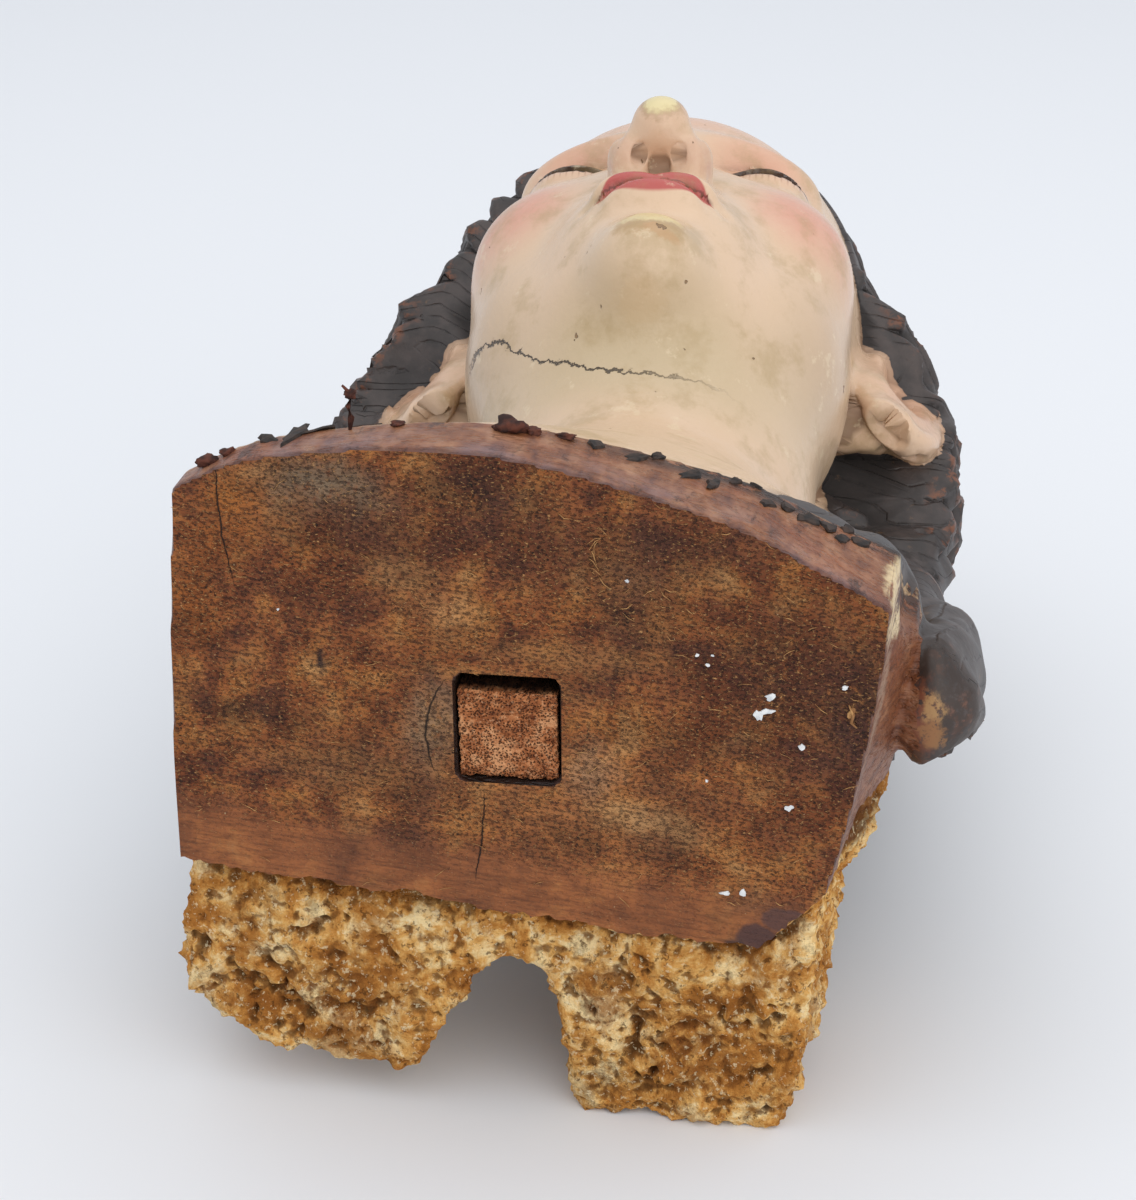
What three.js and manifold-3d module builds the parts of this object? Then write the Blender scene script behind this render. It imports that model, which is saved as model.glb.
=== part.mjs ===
import * as THREE from 'three';
import { mergeVertices } from 'three/addons/utils/BufferGeometryUtils.js';
import Module from 'manifold-3d';

// A carved wooden bust that lies on its back. Millimetres: x across, y from the sawn underside
// to the crown of the head, z up from the floor to the face.

// Sawn underside, measured from the axis of the peg: u across, v toward the chest
const CHEST_CORNER = { left: -73, right: 73, v: 42 };
const CHEST_CROWN = { u: -12, v: 60.5 };
const BACK_EDGE = { left: -67, right: 58, v: -43 };
const BEVELLED_CORNER = { u: 70, v: -25 };
const PEG_HEIGHT = 95.5;
const BLOCK_ROLL = THREE.MathUtils.degToRad(6.5);
const BAND_DEPTH = { left: 9, right: 29 };
const BAND_STEP = 4;

// Square peg and its mortise
const PEG_SIDE = 20.4;
const PEG_LENGTH = 30;
const PEG_RECESS = 0.8;
const PEG_TURN = THREE.MathUtils.degToRad(-1);
const MORTISE = { width: 21.6, low: -11, high: 13.4, depth: 36 };
const MORTISE_SHIFT = { x: 0.2, z: 0 };

// Rotten back of the block: two lobes with a channel between them
const ROT_SETBACK = 3;
const ROT_DEPTH = 62;
const ROT_TOP = -30;
const CHANNEL = { topLeft: 2, topRight: 13, v: -58, footLeft: -9, footRight: 24 };
const LOBE_FOOT = { left: -24, right: 50, leftV: -91, rightV: -101 };
const SIDE_FLARE = 9;
const LOBE_FLARE = 4.5;
const ROT_ROUGHNESS = 1.3;

// Neck, in the frame of the bust
const NECK = { x: 15, z: 90, radius: 41, depth: 42, start: 48, full: 98, end: 130 };

// Head: life size times this factor, its middle at eye level, and its pose
const CARVED_SCALE = 0.775;
const HEAD_CENTRE = new THREE.Vector3(12, 201.6, 100.6);
const HEAD_TILT = THREE.MathUtils.degToRad(-0.5);
const HEAD_ROLL = THREE.MathUtils.degToRad(-0.5);
const HEAD_LEAN = THREE.MathUtils.degToRad(2);
const HEAD_DETAIL = 15;
const FACE_CROWDING = 0.42;

// Masses of a life-size head, in millimetres from its middle: u to the side, v up the head,
// w toward the face. Each has a centre, half sizes and the width of its blend with the rest.
const SKULL = { at: [0, 28, -12], half: [75, 84, 95] };
const FACE_MASSES = [
  { at: [0, 42, 24], half: [60, 46, 64], blend: 16 },
  { at: [0, -22, 22], half: [64, 82, 66], blend: 16 },
  { at: [38, -62, 20], half: [22, 34, 40], blend: 20 },
  { at: [0, -84, 52], half: [30, 26, 34], blend: 22 },
  { at: [0, -88, 8], half: [44, 26, 52], blend: 18 },
  { at: [36, -28, 52], half: [27, 28, 26], blend: 14 },
  { at: [0, 16, 66], half: [52, 16, 24], blend: 10 },
  { at: [0, -62, 66], half: [30, 26, 26], blend: 12 },
  { at: [0, -98, 74], half: [16, 15, 16], blend: 10 },
  { at: [0, -116, -8], half: [54, 44, 52], blend: 24 },
];
const EYE = { at: [32, -1, 64], radius: 16, lid: 1.9 };
const EYE_SOCKET = { at: [32, 0, 92], half: [20, 12, 16], blend: 8 };
const EYE_OPENING = { width: 29, height: 8.5, back: 66, front: 96 };
const NOSE_BRIDGE = { at: [0, 10, 84], radius: 6 };
const NOSE_TIP = { at: [0, -38, 105], radius: 9.5 };
const NOSE_WING = { at: [12, -43, 95], half: [7, 7, 8], blend: 7 };
const UPPER_LIP = { at: [8, -65, 89], half: [14, 6, 9], blend: 5 };
const LOWER_LIP = { at: [0, -76, 88], half: [17, 6.5, 10], blend: 5 };
const EAR = { at: [80, -18, 2], half: [8.5, 30, 21], blend: 8, turn: Math.PI / 4 };
const EAR_BOWL = { at: [10, 4, 1], half: [8, 16, 10], blend: 4 };

// Hair: masses outside the skull, cut off in front by the hairline and hollowed round the ear
const HAIR_MASSES = [
  { at: [0, 18, -14], half: [86, 106, 107], blend: 0 },
  { at: [0, -18, -28], half: [111, 95, 106], blend: 10 },
  { at: [70, -84, -46], half: [35, 62, 44], blend: 18 },
  { at: [0, -100, -66], half: [76, 74, 62], blend: 22 },
];
const HAIR_SHIFT = -7;
const HAIRLINE = { w: 18, slope: 0.8, lowest: -26, round: 7 };
const EAR_WINDOW = { at: [98, -32, 22], half: [32, 32, 30], blend: 8 };
const CURL_CENTRE = { v: -28, w: 6 };
const CURL_WIDTH = 17;
const CURL_DEPTH = 3.4;
const CURL_WAVE = { count: 9, sway: 5 };
const BACK_CURL = { width: 30, wave: 34, sway: 8 };

// Locks of hair that fall from behind the ears to the shoulders
const RIGHT_LOCK = { foot: [86.5, 30, 94], middle: [87, 72, 80], top: [76, 126, 62] };
const LEFT_LOCK = { foot: [-72, 34, 94], middle: [-70, 72, 84], top: [-54, 126, 66] };
const LOCK_SIZE = { across: 10, along: 14.5, swell: 0.5 };
const LOCK_STRANDS = 4;
const LOCK_GROOVE = 0.1;
const LOCK_TWIST = 0.8;

const GAP = 0.3;
const WELD = 1e-3;

const wasm = await Module();
wasm.setup();

// Geometry helpers
function toSolid(geometry) {
  const plain = geometry.clone();
  plain.deleteAttribute('normal');
  plain.deleteAttribute('uv');
  const welded = mergeVertices(plain, WELD);
  return new wasm.Manifold(new wasm.Mesh({
    numProp: 3,
    vertProperties: new Float32Array(welded.attributes.position.array),
    triVerts: new Uint32Array(welded.index.array),
  }));
}

function toGeometry(solid) {
  const mesh = solid.getMesh();
  const geometry = new THREE.BufferGeometry();
  geometry.setAttribute('position', new THREE.BufferAttribute(mesh.vertProperties, 3));
  geometry.setIndex(new THREE.BufferAttribute(mesh.triVerts, 1));
  geometry.computeVertexNormals();
  return geometry;
}

function moveVertices(geometry, place) {
  const position = geometry.attributes.position;
  const point = new THREE.Vector3();
  for (let i = 0; i < position.count; i += 1) {
    point.fromBufferAttribute(position, i);
    place(point);
    position.setXYZ(i, point.x, point.y, point.z);
  }
  return geometry;
}

const mix = THREE.MathUtils.lerp;
const smoothstep = THREE.MathUtils.smoothstep;

// A low rolling roughness, the same for every build
function roughness(x, y, z, size) {
  const a = Math.sin(x / size + 1.7 * Math.sin(z / size)) * Math.cos(y / size - 0.6);
  const b = Math.sin(2.3 * z / size + 1.3 * Math.sin(1.9 * y / size + 0.4));
  return 0.6 * a + 0.4 * b;
}

// Fields of distance: negative inside, positive outside
function ellipsoid(u, v, w, { at, half }) {
  const x = (u - at[0]) / half[0];
  const y = (v - at[1]) / half[1];
  const z = (w - at[2]) / half[2];
  const near = Math.hypot(x, y, z);
  const slope = Math.hypot(x / half[0], y / half[1], z / half[2]);
  return slope < 1e-9 ? -Math.min(...half) : near * (near - 1) / slope;
}

function join(a, b, width) {
  const h = THREE.MathUtils.clamp(0.5 + 0.5 * (b - a) / width, 0, 1);
  return mix(b, a, h) - width * h * (1 - h);
}

function carve(body, tool, width) {
  return -join(-body, tool, width);
}

function noseRidge(u, v, w) {
  const along = new THREE.Vector3(...NOSE_TIP.at).sub(new THREE.Vector3(...NOSE_BRIDGE.at));
  const from = new THREE.Vector3(u, v, w).sub(new THREE.Vector3(...NOSE_BRIDGE.at));
  const t = THREE.MathUtils.clamp(from.dot(along) / along.lengthSq(), 0, 1);
  return from.addScaledVector(along, -t).length() - mix(NOSE_BRIDGE.radius, NOSE_TIP.radius, t);
}

// An ear stands out from the head: a dished plate turned about an upright axis
function ear(u, v, w) {
  const outward = u - EAR.at[0];
  const forward = w - EAR.at[2];
  const through = outward * Math.cos(EAR.turn) + forward * Math.sin(EAR.turn);
  const along = forward * Math.cos(EAR.turn) - outward * Math.sin(EAR.turn);
  const plate = ellipsoid(through, v - EAR.at[1], along, { at: [0, 0, 0], half: EAR.half });
  return carve(plate, ellipsoid(through, v - EAR.at[1], along, EAR_BOWL), EAR_BOWL.blend);
}

function skinField(side, v, w) {
  const u = Math.abs(side);
  let d = ellipsoid(u, v, w, SKULL);
  for (const mass of FACE_MASSES) d = join(d, ellipsoid(u, v, w, mass), mass.blend);
  d = carve(d, ellipsoid(u, v, w, EYE_SOCKET), EYE_SOCKET.blend);
  const lid = EYE.radius + EYE.lid;
  d = join(d, ellipsoid(u, v, w, { at: EYE.at, half: [lid, lid, lid] }), 3);
  d = join(d, noseRidge(u, v, w), 9);
  for (const part of [NOSE_WING, UPPER_LIP, LOWER_LIP]) {
    d = join(d, ellipsoid(u, v, w, part), part.blend);
  }
  return join(d, ear(u, v, w), EAR.blend);
}

// The hair is combed back in wavy rolls that run round the ear and hang down behind
function roll(across) {
  return CURL_DEPTH * (Math.abs(Math.sin(Math.PI * across)) - 0.7);
}

function curlHeight(u, v, w) {
  const dv = v - CURL_CENTRE.v;
  const dw = w - CURL_CENTRE.w;
  const sway = CURL_WAVE.sway * Math.sin(CURL_WAVE.count * Math.atan2(dv, dw));
  const side = roll((Math.hypot(dv, dw) + sway) / CURL_WIDTH);
  const hang = BACK_CURL.sway * Math.sin(v / BACK_CURL.wave * 2 * Math.PI);
  const back = roll((u + hang) / BACK_CURL.width);
  const parting = smoothstep(u, 8, 40);
  return mix(side * parting, back, smoothstep(-w, 70, 105));
}

function hairField(side, v, w) {
  const u = Math.abs(side - HAIR_SHIFT);
  let d = ellipsoid(u, v, w, HAIR_MASSES[0]);
  for (const mass of HAIR_MASSES.slice(1)) d = join(d, ellipsoid(u, v, w, mass), mass.blend);
  d -= curlHeight(u, v, w);
  const line = Math.max(HAIRLINE.w + HAIRLINE.slope * v, HAIRLINE.lowest);
  const front = (w - line) / Math.hypot(1, HAIRLINE.slope);
  d = -join(-d, -front, HAIRLINE.round);
  return carve(d, ellipsoid(Math.abs(side), v, w, EAR_WINDOW), EAR_WINDOW.blend);
}

function headField(u, v, w) {
  return Math.min(skinField(u, v, w), hairField(u, v, w));
}

// The farthest point of the head along a ray from its middle
function headRadius(direction, from) {
  const reach = 165;
  const step = 1.5;
  const value = (r) => headField(
    from.x + r * direction.x, from.y + r * direction.y, from.z + r * direction.z);
  let outside = reach;
  while (outside > step && value(outside - step) > 0) outside -= step;
  let inside = outside - step;
  for (let i = 0; i < 12; i += 1) {
    const middle = (inside + outside) / 2;
    if (value(middle) > 0) outside = middle;
    else inside = middle;
  }
  return inside;
}

function headPose() {
  const turn = new THREE.Matrix4().makeRotationZ(HEAD_LEAN);
  turn.multiply(new THREE.Matrix4().makeRotationY(HEAD_ROLL));
  turn.multiply(new THREE.Matrix4().makeRotationX(HEAD_TILT));
  const pose = new THREE.Matrix4().makeTranslation(HEAD_CENTRE);
  const size = new THREE.Matrix4().makeScale(CARVED_SCALE, CARVED_SCALE, CARVED_SCALE);
  return pose.multiply(turn).multiply(size);
}

function headGeometry() {
  const middle = new THREE.Vector3(0, -18, -8);
  const toFace = new THREE.Vector3(0, -0.25, 1).normalize();
  const ball = new THREE.IcosahedronGeometry(1, HEAD_DETAIL);
  moveVertices(ball, (point) => {
    point.normalize().addScaledVector(toFace, FACE_CROWDING).normalize();
    point.multiplyScalar(headRadius(point, middle)).add(middle);
  });
  return ball.applyMatrix4(headPose());
}

// An almond-shaped bar through the lids, at the place of an eye
function almond(side, inset, back, front) {
  const half = EYE_OPENING.width / 2 - inset / CARVED_SCALE;
  const rise = EYE_OPENING.height / 2 - inset / CARVED_SCALE;
  const outline = new THREE.Shape();
  outline.moveTo(-half, 0);
  outline.quadraticCurveTo(0, -1.6 * rise, half, 0);
  outline.quadraticCurveTo(0, 2.4 * rise, -half, 0);
  const bar = new THREE.ExtrudeGeometry(outline, {
    depth: front - back, bevelEnabled: false, curveSegments: 7,
  });
  bar.translate(side * EYE.at[0], EYE.at[1], back);
  return toSolid(bar.applyMatrix4(headPose()));
}

function eyeball(side, grow) {
  const radius = EYE.radius + grow / CARVED_SCALE;
  const ball = new THREE.SphereGeometry(radius, 28, 20);
  ball.translate(side * EYE.at[0], EYE.at[1], EYE.at[2]);
  return toSolid(ball.applyMatrix4(headPose()));
}

function glassEye(side) {
  const { back, front } = EYE_OPENING;
  return eyeball(side, 0).intersect(almond(side, GAP, back, front));
}

// Turns a shape drawn as u across and v toward the chest into a prism along y
function alongBust(shape, from, to, steps, segments) {
  const prism = new THREE.ExtrudeGeometry(shape, {
    depth: to - from, bevelEnabled: false, steps, curveSegments: segments,
  });
  prism.rotateX(Math.PI / 2);
  return prism.translate(0, to, 0);
}

function placeBlock(geometry) {
  geometry.rotateY(BLOCK_ROLL);
  return geometry.translate(0, 0, PEG_HEIGHT);
}

function undersideOutline() {
  const { left, right, v } = CHEST_CORNER;
  const outline = new THREE.Shape();
  outline.moveTo(left, v + 1);
  outline.splineThru([
    new THREE.Vector2(-54, 53),
    new THREE.Vector2(CHEST_CROWN.u, CHEST_CROWN.v),
    new THREE.Vector2(34, 55),
    new THREE.Vector2(57, 47.5),
    new THREE.Vector2(right, v - 1),
  ]);
  outline.quadraticCurveTo(74, 8, BEVELLED_CORNER.u, BEVELLED_CORNER.v);
  outline.lineTo(BACK_EDGE.right, BACK_EDGE.v + 2);
  outline.lineTo(BACK_EDGE.left, BACK_EDGE.v);
  outline.quadraticCurveTo(-72, 0, left, v + 1);
  return outline;
}

// The block keeps the outline of the underside along the bare band, steps in behind it, bulges
// at the shoulders and narrows to the neck
function chestGeometry() {
  const depth = NECK.full + 12;
  const rings = [0, 9, 1, 1.14, 36, 45, 54, 64, 75, 87, NECK.full, depth];
  const steps = rings.length - 1;
  const block = placeBlock(alongBust(undersideOutline(), 0, depth, steps, 6));
  return moveVertices(block, (point) => {
    const ring = Math.round(point.y / depth * steps);
    const across = THREE.MathUtils.clamp((point.x + 73) / 146, 0, 1);
    const band = mix(BAND_DEPTH.left, BAND_DEPTH.right, across);
    const y = ring === 2 || ring === 3 ? band * rings[ring] : rings[ring];
    const front = smoothstep(point.z, 108, 136);
    const height = point.z - PEG_HEIGHT;
    const reach = Math.hypot(point.x, height);
    const flare = SIDE_FLARE * smoothstep(y, 0, 34) * smoothstep(point.z, 40, 62) * (1 - front);
    const step = (flare * Math.abs(point.x) / reach - (ring >= 3 ? BAND_STEP * front : 0)) / reach;
    const x = point.x * (1 + step);
    const z = point.z + height * step;
    const angle = Math.atan2(z - NECK.z, x - NECK.x);
    const shoulder = smoothstep(y, mix(NECK.start, band + 2, front), NECK.full);
    point.x = mix(x, NECK.x + NECK.radius * Math.cos(angle), shoulder);
    point.z = mix(z, NECK.z + NECK.depth * Math.sin(angle), shoulder);
    point.y = y;
  });
}

function neckGeometry() {
  const { x, z, radius, depth, end } = NECK;
  const length = HEAD_CENTRE.y - end + 50;
  const tube = new THREE.CylinderGeometry(1, 1, length, 28, 4);
  return moveVertices(tube, (point) => {
    const y = end + point.y + length / 2 - 50;
    const along = THREE.MathUtils.clamp((y - 80) / length, 0, 1);
    point.set(
      mix(x, HEAD_CENTRE.x, along) + radius * point.x,
      y,
      mix(z, HEAD_CENTRE.z - 16, along) + depth * point.z);
  });
}

// Two rounded lobes of rotten wood
function lobeOutline(inner, innerTop, foot, footV, outer, outerTop) {
  const outline = new THREE.Shape();
  outline.moveTo(innerTop, CHANNEL.v);
  outline.lineTo(inner, footV + 7);
  outline.quadraticCurveTo(mix(inner, foot, 0.15), footV, foot, footV);
  outline.quadraticCurveTo(mix(foot, outer, 0.9), footV, outer, -76);
  outline.lineTo(outerTop, ROT_TOP);
  outline.lineTo(innerTop, ROT_TOP);
  outline.closePath();
  return outline;
}

function rotGeometry(outline) {
  const steps = 9;
  const lobe = alongBust(outline, ROT_SETBACK, ROT_SETBACK + ROT_DEPTH, steps, 6);
  placeBlock(lobe);
  return moveVertices(lobe, (point) => {
    const along = (point.y - ROT_SETBACK) / ROT_DEPTH;
    const rise = 34 * along * along;
    point.z += rise * smoothstep(65 - point.z, 0, 60);
    point.x += LOBE_FLARE * smoothstep(point.y, 0, 45) * smoothstep(Math.abs(point.x), 30, 66)
      * Math.sign(point.x);
    const rough = ROT_ROUGHNESS * roughness(point.x, point.y, point.z, 6);
    point.x += rough;
    point.z += ROT_ROUGHNESS * roughness(point.z, point.x, point.y, 5);
    point.y += rough + (along < 0.01 ? ROT_ROUGHNESS : 0);
  });
}

// A lock of hair: a round-ended bar bent along a curve, with twisted grooves
function lockGeometry({ foot, middle, top }) {
  const path = new THREE.CatmullRomCurve3([foot, middle, top].map((p) => new THREE.Vector3(...p)));
  const half = 0.5;
  const bar = new THREE.CapsuleGeometry(1, 2 * half, 4, 18, 8);
  return moveVertices(bar, (point) => {
    const t = THREE.MathUtils.clamp(point.y + half, 0, 1);
    const overrun = point.y + half - t;
    const angle = Math.atan2(point.z, point.x);
    const groove = 1 + LOCK_GROOVE * Math.cos(LOCK_STRANDS * angle + 2 * Math.PI * LOCK_TWIST * t);
    const size = groove * (1 + LOCK_SIZE.swell * t);
    const centre = path.getPoint(t);
    point.set(
      centre.x + LOCK_SIZE.across * size * point.x,
      centre.y + LOCK_SIZE.across * overrun,
      centre.z + LOCK_SIZE.along * size * point.z);
  });
}

// Tools that cut the block
function mortise() {
  const { width, low, high, depth } = MORTISE;
  const hole = new THREE.BoxGeometry(width, depth + 10, high - low);
  hole.translate(MORTISE_SHIFT.x, depth / 2 - 5, (high + low) / 2 + MORTISE_SHIFT.z);
  hole.rotateY(PEG_TURN);
  return toSolid(hole.translate(0, 0, PEG_HEIGHT));
}

function underFloor() {
  const slab = new THREE.BoxGeometry(600, 900, 60);
  return toSolid(slab.translate(0, 150, -30));
}

function bustSolid() {
  const lobes = [
    lobeOutline(CHANNEL.footLeft, CHANNEL.topLeft, LOBE_FOOT.left, LOBE_FOOT.leftV, -65, -66),
    lobeOutline(CHANNEL.footRight, CHANNEL.topRight, LOBE_FOOT.right, LOBE_FOOT.rightV, 72, 70),
  ];
  const bridge = new THREE.BoxGeometry(40, ROT_DEPTH - 4, 30);
  bridge.translate(9, ROT_SETBACK + ROT_DEPTH / 2, CHANNEL.v + 15);
  placeBlock(bridge);
  let solid = toSolid(chestGeometry());
  for (const outline of lobes) solid = solid.add(toSolid(rotGeometry(outline)));
  solid = solid.add(toSolid(bridge));
  solid = solid.add(toSolid(neckGeometry()));
  solid = solid.add(toSolid(headGeometry()));
  for (const lock of [RIGHT_LOCK, LEFT_LOCK]) solid = solid.add(toSolid(lockGeometry(lock)));
  solid = solid.subtract(mortise());
  for (const side of [-1, 1]) {
    const { back, front } = EYE_OPENING;
    solid = solid.subtract(almond(side, 0, back + 1, front));
    const ball = eyeball(side, GAP).intersect(almond(side, 0, back - 1, front));
    solid = solid.subtract(ball);
  }
  return solid.subtract(underFloor());
}

function pegGeometry() {
  const peg = new THREE.BoxGeometry(PEG_SIDE, PEG_LENGTH, PEG_SIDE);
  peg.translate(0, PEG_RECESS + PEG_LENGTH / 2, 0);
  peg.rotateY(PEG_TURN);
  return peg.translate(0, 0, PEG_HEIGHT);
}

// Materials
const paintedWood = new THREE.MeshStandardMaterial({ color: 0xb89c80, roughness: 0.5, metalness: 0 });
const pegWood = new THREE.MeshStandardMaterial({ color: 0xa0704f, roughness: 0.85, metalness: 0 });
const eyeGlass = new THREE.MeshStandardMaterial({ color: 0x4a5a63, roughness: 0.08, metalness: 0 });

function named(name, geometry, material) {
  const mesh = new THREE.Mesh(geometry, material);
  mesh.name = name;
  return mesh;
}

// The whole, moved so that its box stands centred on the origin
const bust = new THREE.Group();
bust.add(named('bust', toGeometry(bustSolid()), paintedWood));
bust.add(named('peg', pegGeometry(), pegWood));
bust.add(named('glass_eye_left', toGeometry(glassEye(-1)), eyeGlass));
bust.add(named('glass_eye_right', toGeometry(glassEye(1)), eyeGlass));

const box = new THREE.Box3().setFromObject(bust);
const middle = box.getCenter(new THREE.Vector3());
bust.position.set(-middle.x, -middle.y, -box.min.z);

export default bust;
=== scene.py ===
"""An old carved and painted wooden bust that lies on its back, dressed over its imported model."""

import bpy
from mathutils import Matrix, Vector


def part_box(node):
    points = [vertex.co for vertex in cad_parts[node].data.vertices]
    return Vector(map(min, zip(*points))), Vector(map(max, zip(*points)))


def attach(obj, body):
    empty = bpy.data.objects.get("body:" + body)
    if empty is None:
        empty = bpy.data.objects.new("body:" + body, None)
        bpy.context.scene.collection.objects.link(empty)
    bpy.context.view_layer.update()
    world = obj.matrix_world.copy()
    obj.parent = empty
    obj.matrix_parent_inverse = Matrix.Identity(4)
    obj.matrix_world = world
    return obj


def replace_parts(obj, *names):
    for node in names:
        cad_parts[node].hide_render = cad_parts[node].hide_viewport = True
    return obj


bl_info = {
    "name": "Carved wooden bust",
    "version": (1, 0, 0),
    "blender": (4, 5, 0),
    "location": "View3D > Sidebar > Bust",
    "description": "Carves, paints and ages a wooden bust over its packed model",
    "category": "Object",
}

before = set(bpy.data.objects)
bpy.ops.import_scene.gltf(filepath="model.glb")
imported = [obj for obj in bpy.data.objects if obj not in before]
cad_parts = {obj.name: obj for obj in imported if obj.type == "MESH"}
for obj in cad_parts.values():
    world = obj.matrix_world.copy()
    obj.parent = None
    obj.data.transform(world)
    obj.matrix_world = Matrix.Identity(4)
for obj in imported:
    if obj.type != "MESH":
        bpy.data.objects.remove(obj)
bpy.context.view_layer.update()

import math

import bmesh
import bpy
import numpy as np
from bpy.props import FloatProperty, FloatVectorProperty, IntProperty, PointerProperty
from mathutils import Euler, Vector, noise
from mathutils.bvhtree import BVHTree

MM = 0.001
FINEST = 0.2  # the finest noise that shows in a render, in millimetres

# Peg and block, in millimetres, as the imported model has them
PEG_HEIGHT = 95.5
PEG_SIDE = 20.4
PEG_LENGTH = 30.0
PEG_RECESS = 0.8
PEG_TURN = math.radians(-1)
BLOCK_ROLL = math.radians(6.5)
BAND_DEPTH = (9.0, 29.0)  # of the bare band in front, at its left and right end
BAND_SPAN = (-73.0, 73.0)
# Foot of the brown skin: places across the block and how high it ends there, from the peg
SKIN_FOOT = [(-90, -43.0), (58, -41.0), (70, -25.0), (90, -25.0)]
NECK_RADIUS = (41.0, 42.0)

# The carving is worked in millimetres from the foot of the peg's axis: x across, y from the
# sawn underside to the crown, z up from the floor
peg_low, peg_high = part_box("peg")
ORIGIN = np.array((peg_low + peg_high) / 2) / MM - (0, PEG_RECESS + PEG_LENGTH / 2, PEG_HEIGHT)

# Head: life size times a factor, about its middle at eye level
CARVED_SCALE = 0.775
HEAD_CENTRE = np.array((12.0, 201.6, 100.6))
HEAD_TURN = Euler((math.radians(-0.5), math.radians(-0.5), math.radians(2)), "XYZ")

# Masses of a life-size head, in millimetres from its middle: to the side, up the head and
# toward the face. Each has a centre, half sizes and the width of its blend with the rest.
SKULL = ((0, 28, -12), (75, 84, 95), 0)
FACE_MASSES = [
    ((0, 42, 24), (60, 46, 64), 16),
    ((0, -22, 22), (64, 82, 66), 16),
    ((38, -62, 20), (22, 34, 40), 20),
    ((0, -84, 52), (30, 26, 34), 22),
    ((0, -88, 8), (44, 26, 52), 18),
    ((36, -28, 52), (27, 28, 26), 14),
    ((0, 16, 66), (52, 16, 24), 10),
    ((0, -62, 66), (30, 26, 26), 12),
    ((0, -98, 74), (16, 15, 16), 10),
    ((0, -116, -8), (54, 44, 52), 24),
]
# Features, in the same frame: a centre, half sizes and the width of the blend, or as named
EYE = (32, -1, 64)
EYE_RADIUS = 16.0
GLASS_CUT = 4
LID = 1.9
EYE_SOCKET = ((32, 0, 92), (20, 12, 16), 8)
EYE_HALF = 14.5
EYE_RISE = 4.25
UPPER_LID, LOWER_LID = 1.2 * EYE_RISE, 0.8 * EYE_RISE
# Folds over and under the lids: rise of the arc, how far beyond it, depth, width and reach
LID_FOLDS = [(UPPER_LID, 4.6, 0.9, 1.1, 17), (-LOWER_LID, -5.0, 0.35, 1.6, 15)]
NOSE_BRIDGE = ((0, 10, 84), 6.0)
NOSE_TIP = ((0, -38, 105), 9.5)
NOSE_WING = ((11, -41.5, 93), (6.5, 7.5, 9), 7)
NOSTRIL = ((6.4, -47.5, 97.5), (2.4, 4.6, 3.8), 1.4)
UPPER_LIP = ((6.5, -66.5, 88), (13, 4.4, 8.5), 5)
LOWER_LIP = ((0, -75, 87), (14.5, 5, 9.5), 5)
MOUTH = -70.6
MOUTH_CORNER = (22, -69.6)
OVER_CHIN = -85.5
BROW = (33.0, 22, 19.0, 6.5)  # its middle to the side, half its length, height and arc
EAR = (80, -18, 2)
EAR_PLATE = ((0, 0, 0), (8.5, 30, 21), 8)
EAR_BOWL = ((10, 4, 1), (8, 16, 10), 4)
EAR_TURN = math.pi / 4

HAIR_MASSES = [
    ((0, 18, -14), (86, 106, 107), 0),
    ((0, -18, -28), (111, 95, 106), 10),
    ((70, -84, -46), (35, 62, 44), 18),
    ((0, -100, -66), (76, 74, 62), 22),
]
HAIR_SHIFT = -7
HAIRLINE = (18, 0.8, -26, 7)  # where it starts, its slope, how low it comes, how round it is
EAR_WINDOW = ((98, -32, 22), (32, 32, 30), 8)
# Rolls of hair beside the ear: what they run round, their width and depth, and their waves
CURL_CENTRE = (-28, 6)
CURL_WIDTH = 17.0
CURL_DEPTH = 3.4
CURL_COUNT = 9
CURL_SWAY = 5.0
BACK_CURL = (30.0, 34.0, 8.0)  # rolls behind: their width, and how long and deep they wave

# Hanging locks, each a curve through three points from its cut end up to the head
LOCKS = [
    ((86.5, 30, 94), (87, 72, 80), (76, 126, 62)),
    ((-72, 34, 94), (-70, 72, 84), (-54, 126, 66)),
]

# Flat cuts of the knife at the end of the right lock, each a point on it and the way it faces
LOCK_CUTS = [
    ((96.5, 30, 98), (0.98, -0.15, 0.12)),
    ((91.5, 20, 98), (0.62, -0.76, 0.15)),
    ((88, 17.5, 98), (0.1, -0.99, -0.05)),
    ((90, 30, 109), (0.42, -0.1, 0.9)),
    ((94, 28, 87), (0.55, -0.3, -0.78)),
    ((86, 26, 82), (0.1, -0.2, -0.97)),
]

# Sizes in the rotten wood, in millimetres: lumps, crumbs, grit, hollows, how far apart the
# worms' galleries run, raised fibres and ledges
LUMP, CRUMB, GRIT, HOLLOW, GALLERY, FIBRE, LEDGE = 17, 5.0, 2.1, 12, 6.5, 1.8, 7

# Middle and reach of the two crumbled lobes, across and up the block from the peg
LOBES = [((-38, -75), (25, 16)), ((44, -70), (19, 18))]

# The left lock is trimmed behind the block's edge: a plane's place at the underside and how
# fast it spreads along the bust
LEFT_TRIM = (-69.0, 0.334)

# What lies this close to the underside is sawn flat with it
SAWN_FLAT = 0.75

# Strands on the shoulders: their width, how high they stand and how much of them is sunk
SHOULDER_STRANDS = (6.5, 1.7, 0.6)

# The bust's materials in their slots, and the angle from which its edges are sharp
PAINTED, SIDE_GRAIN, ROTTEN, SAWN = range(4)
SHARP_FROM = math.radians(55)

# The paint begins a little past the edge of the bare band in front, as a factor of its depth,
# and this far from the underside at the sides, with the change between two heights
PAINT_EDGE = 1.07
SIDE_PAINT = 40
PAINT_TURN = (108, 136)

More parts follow.
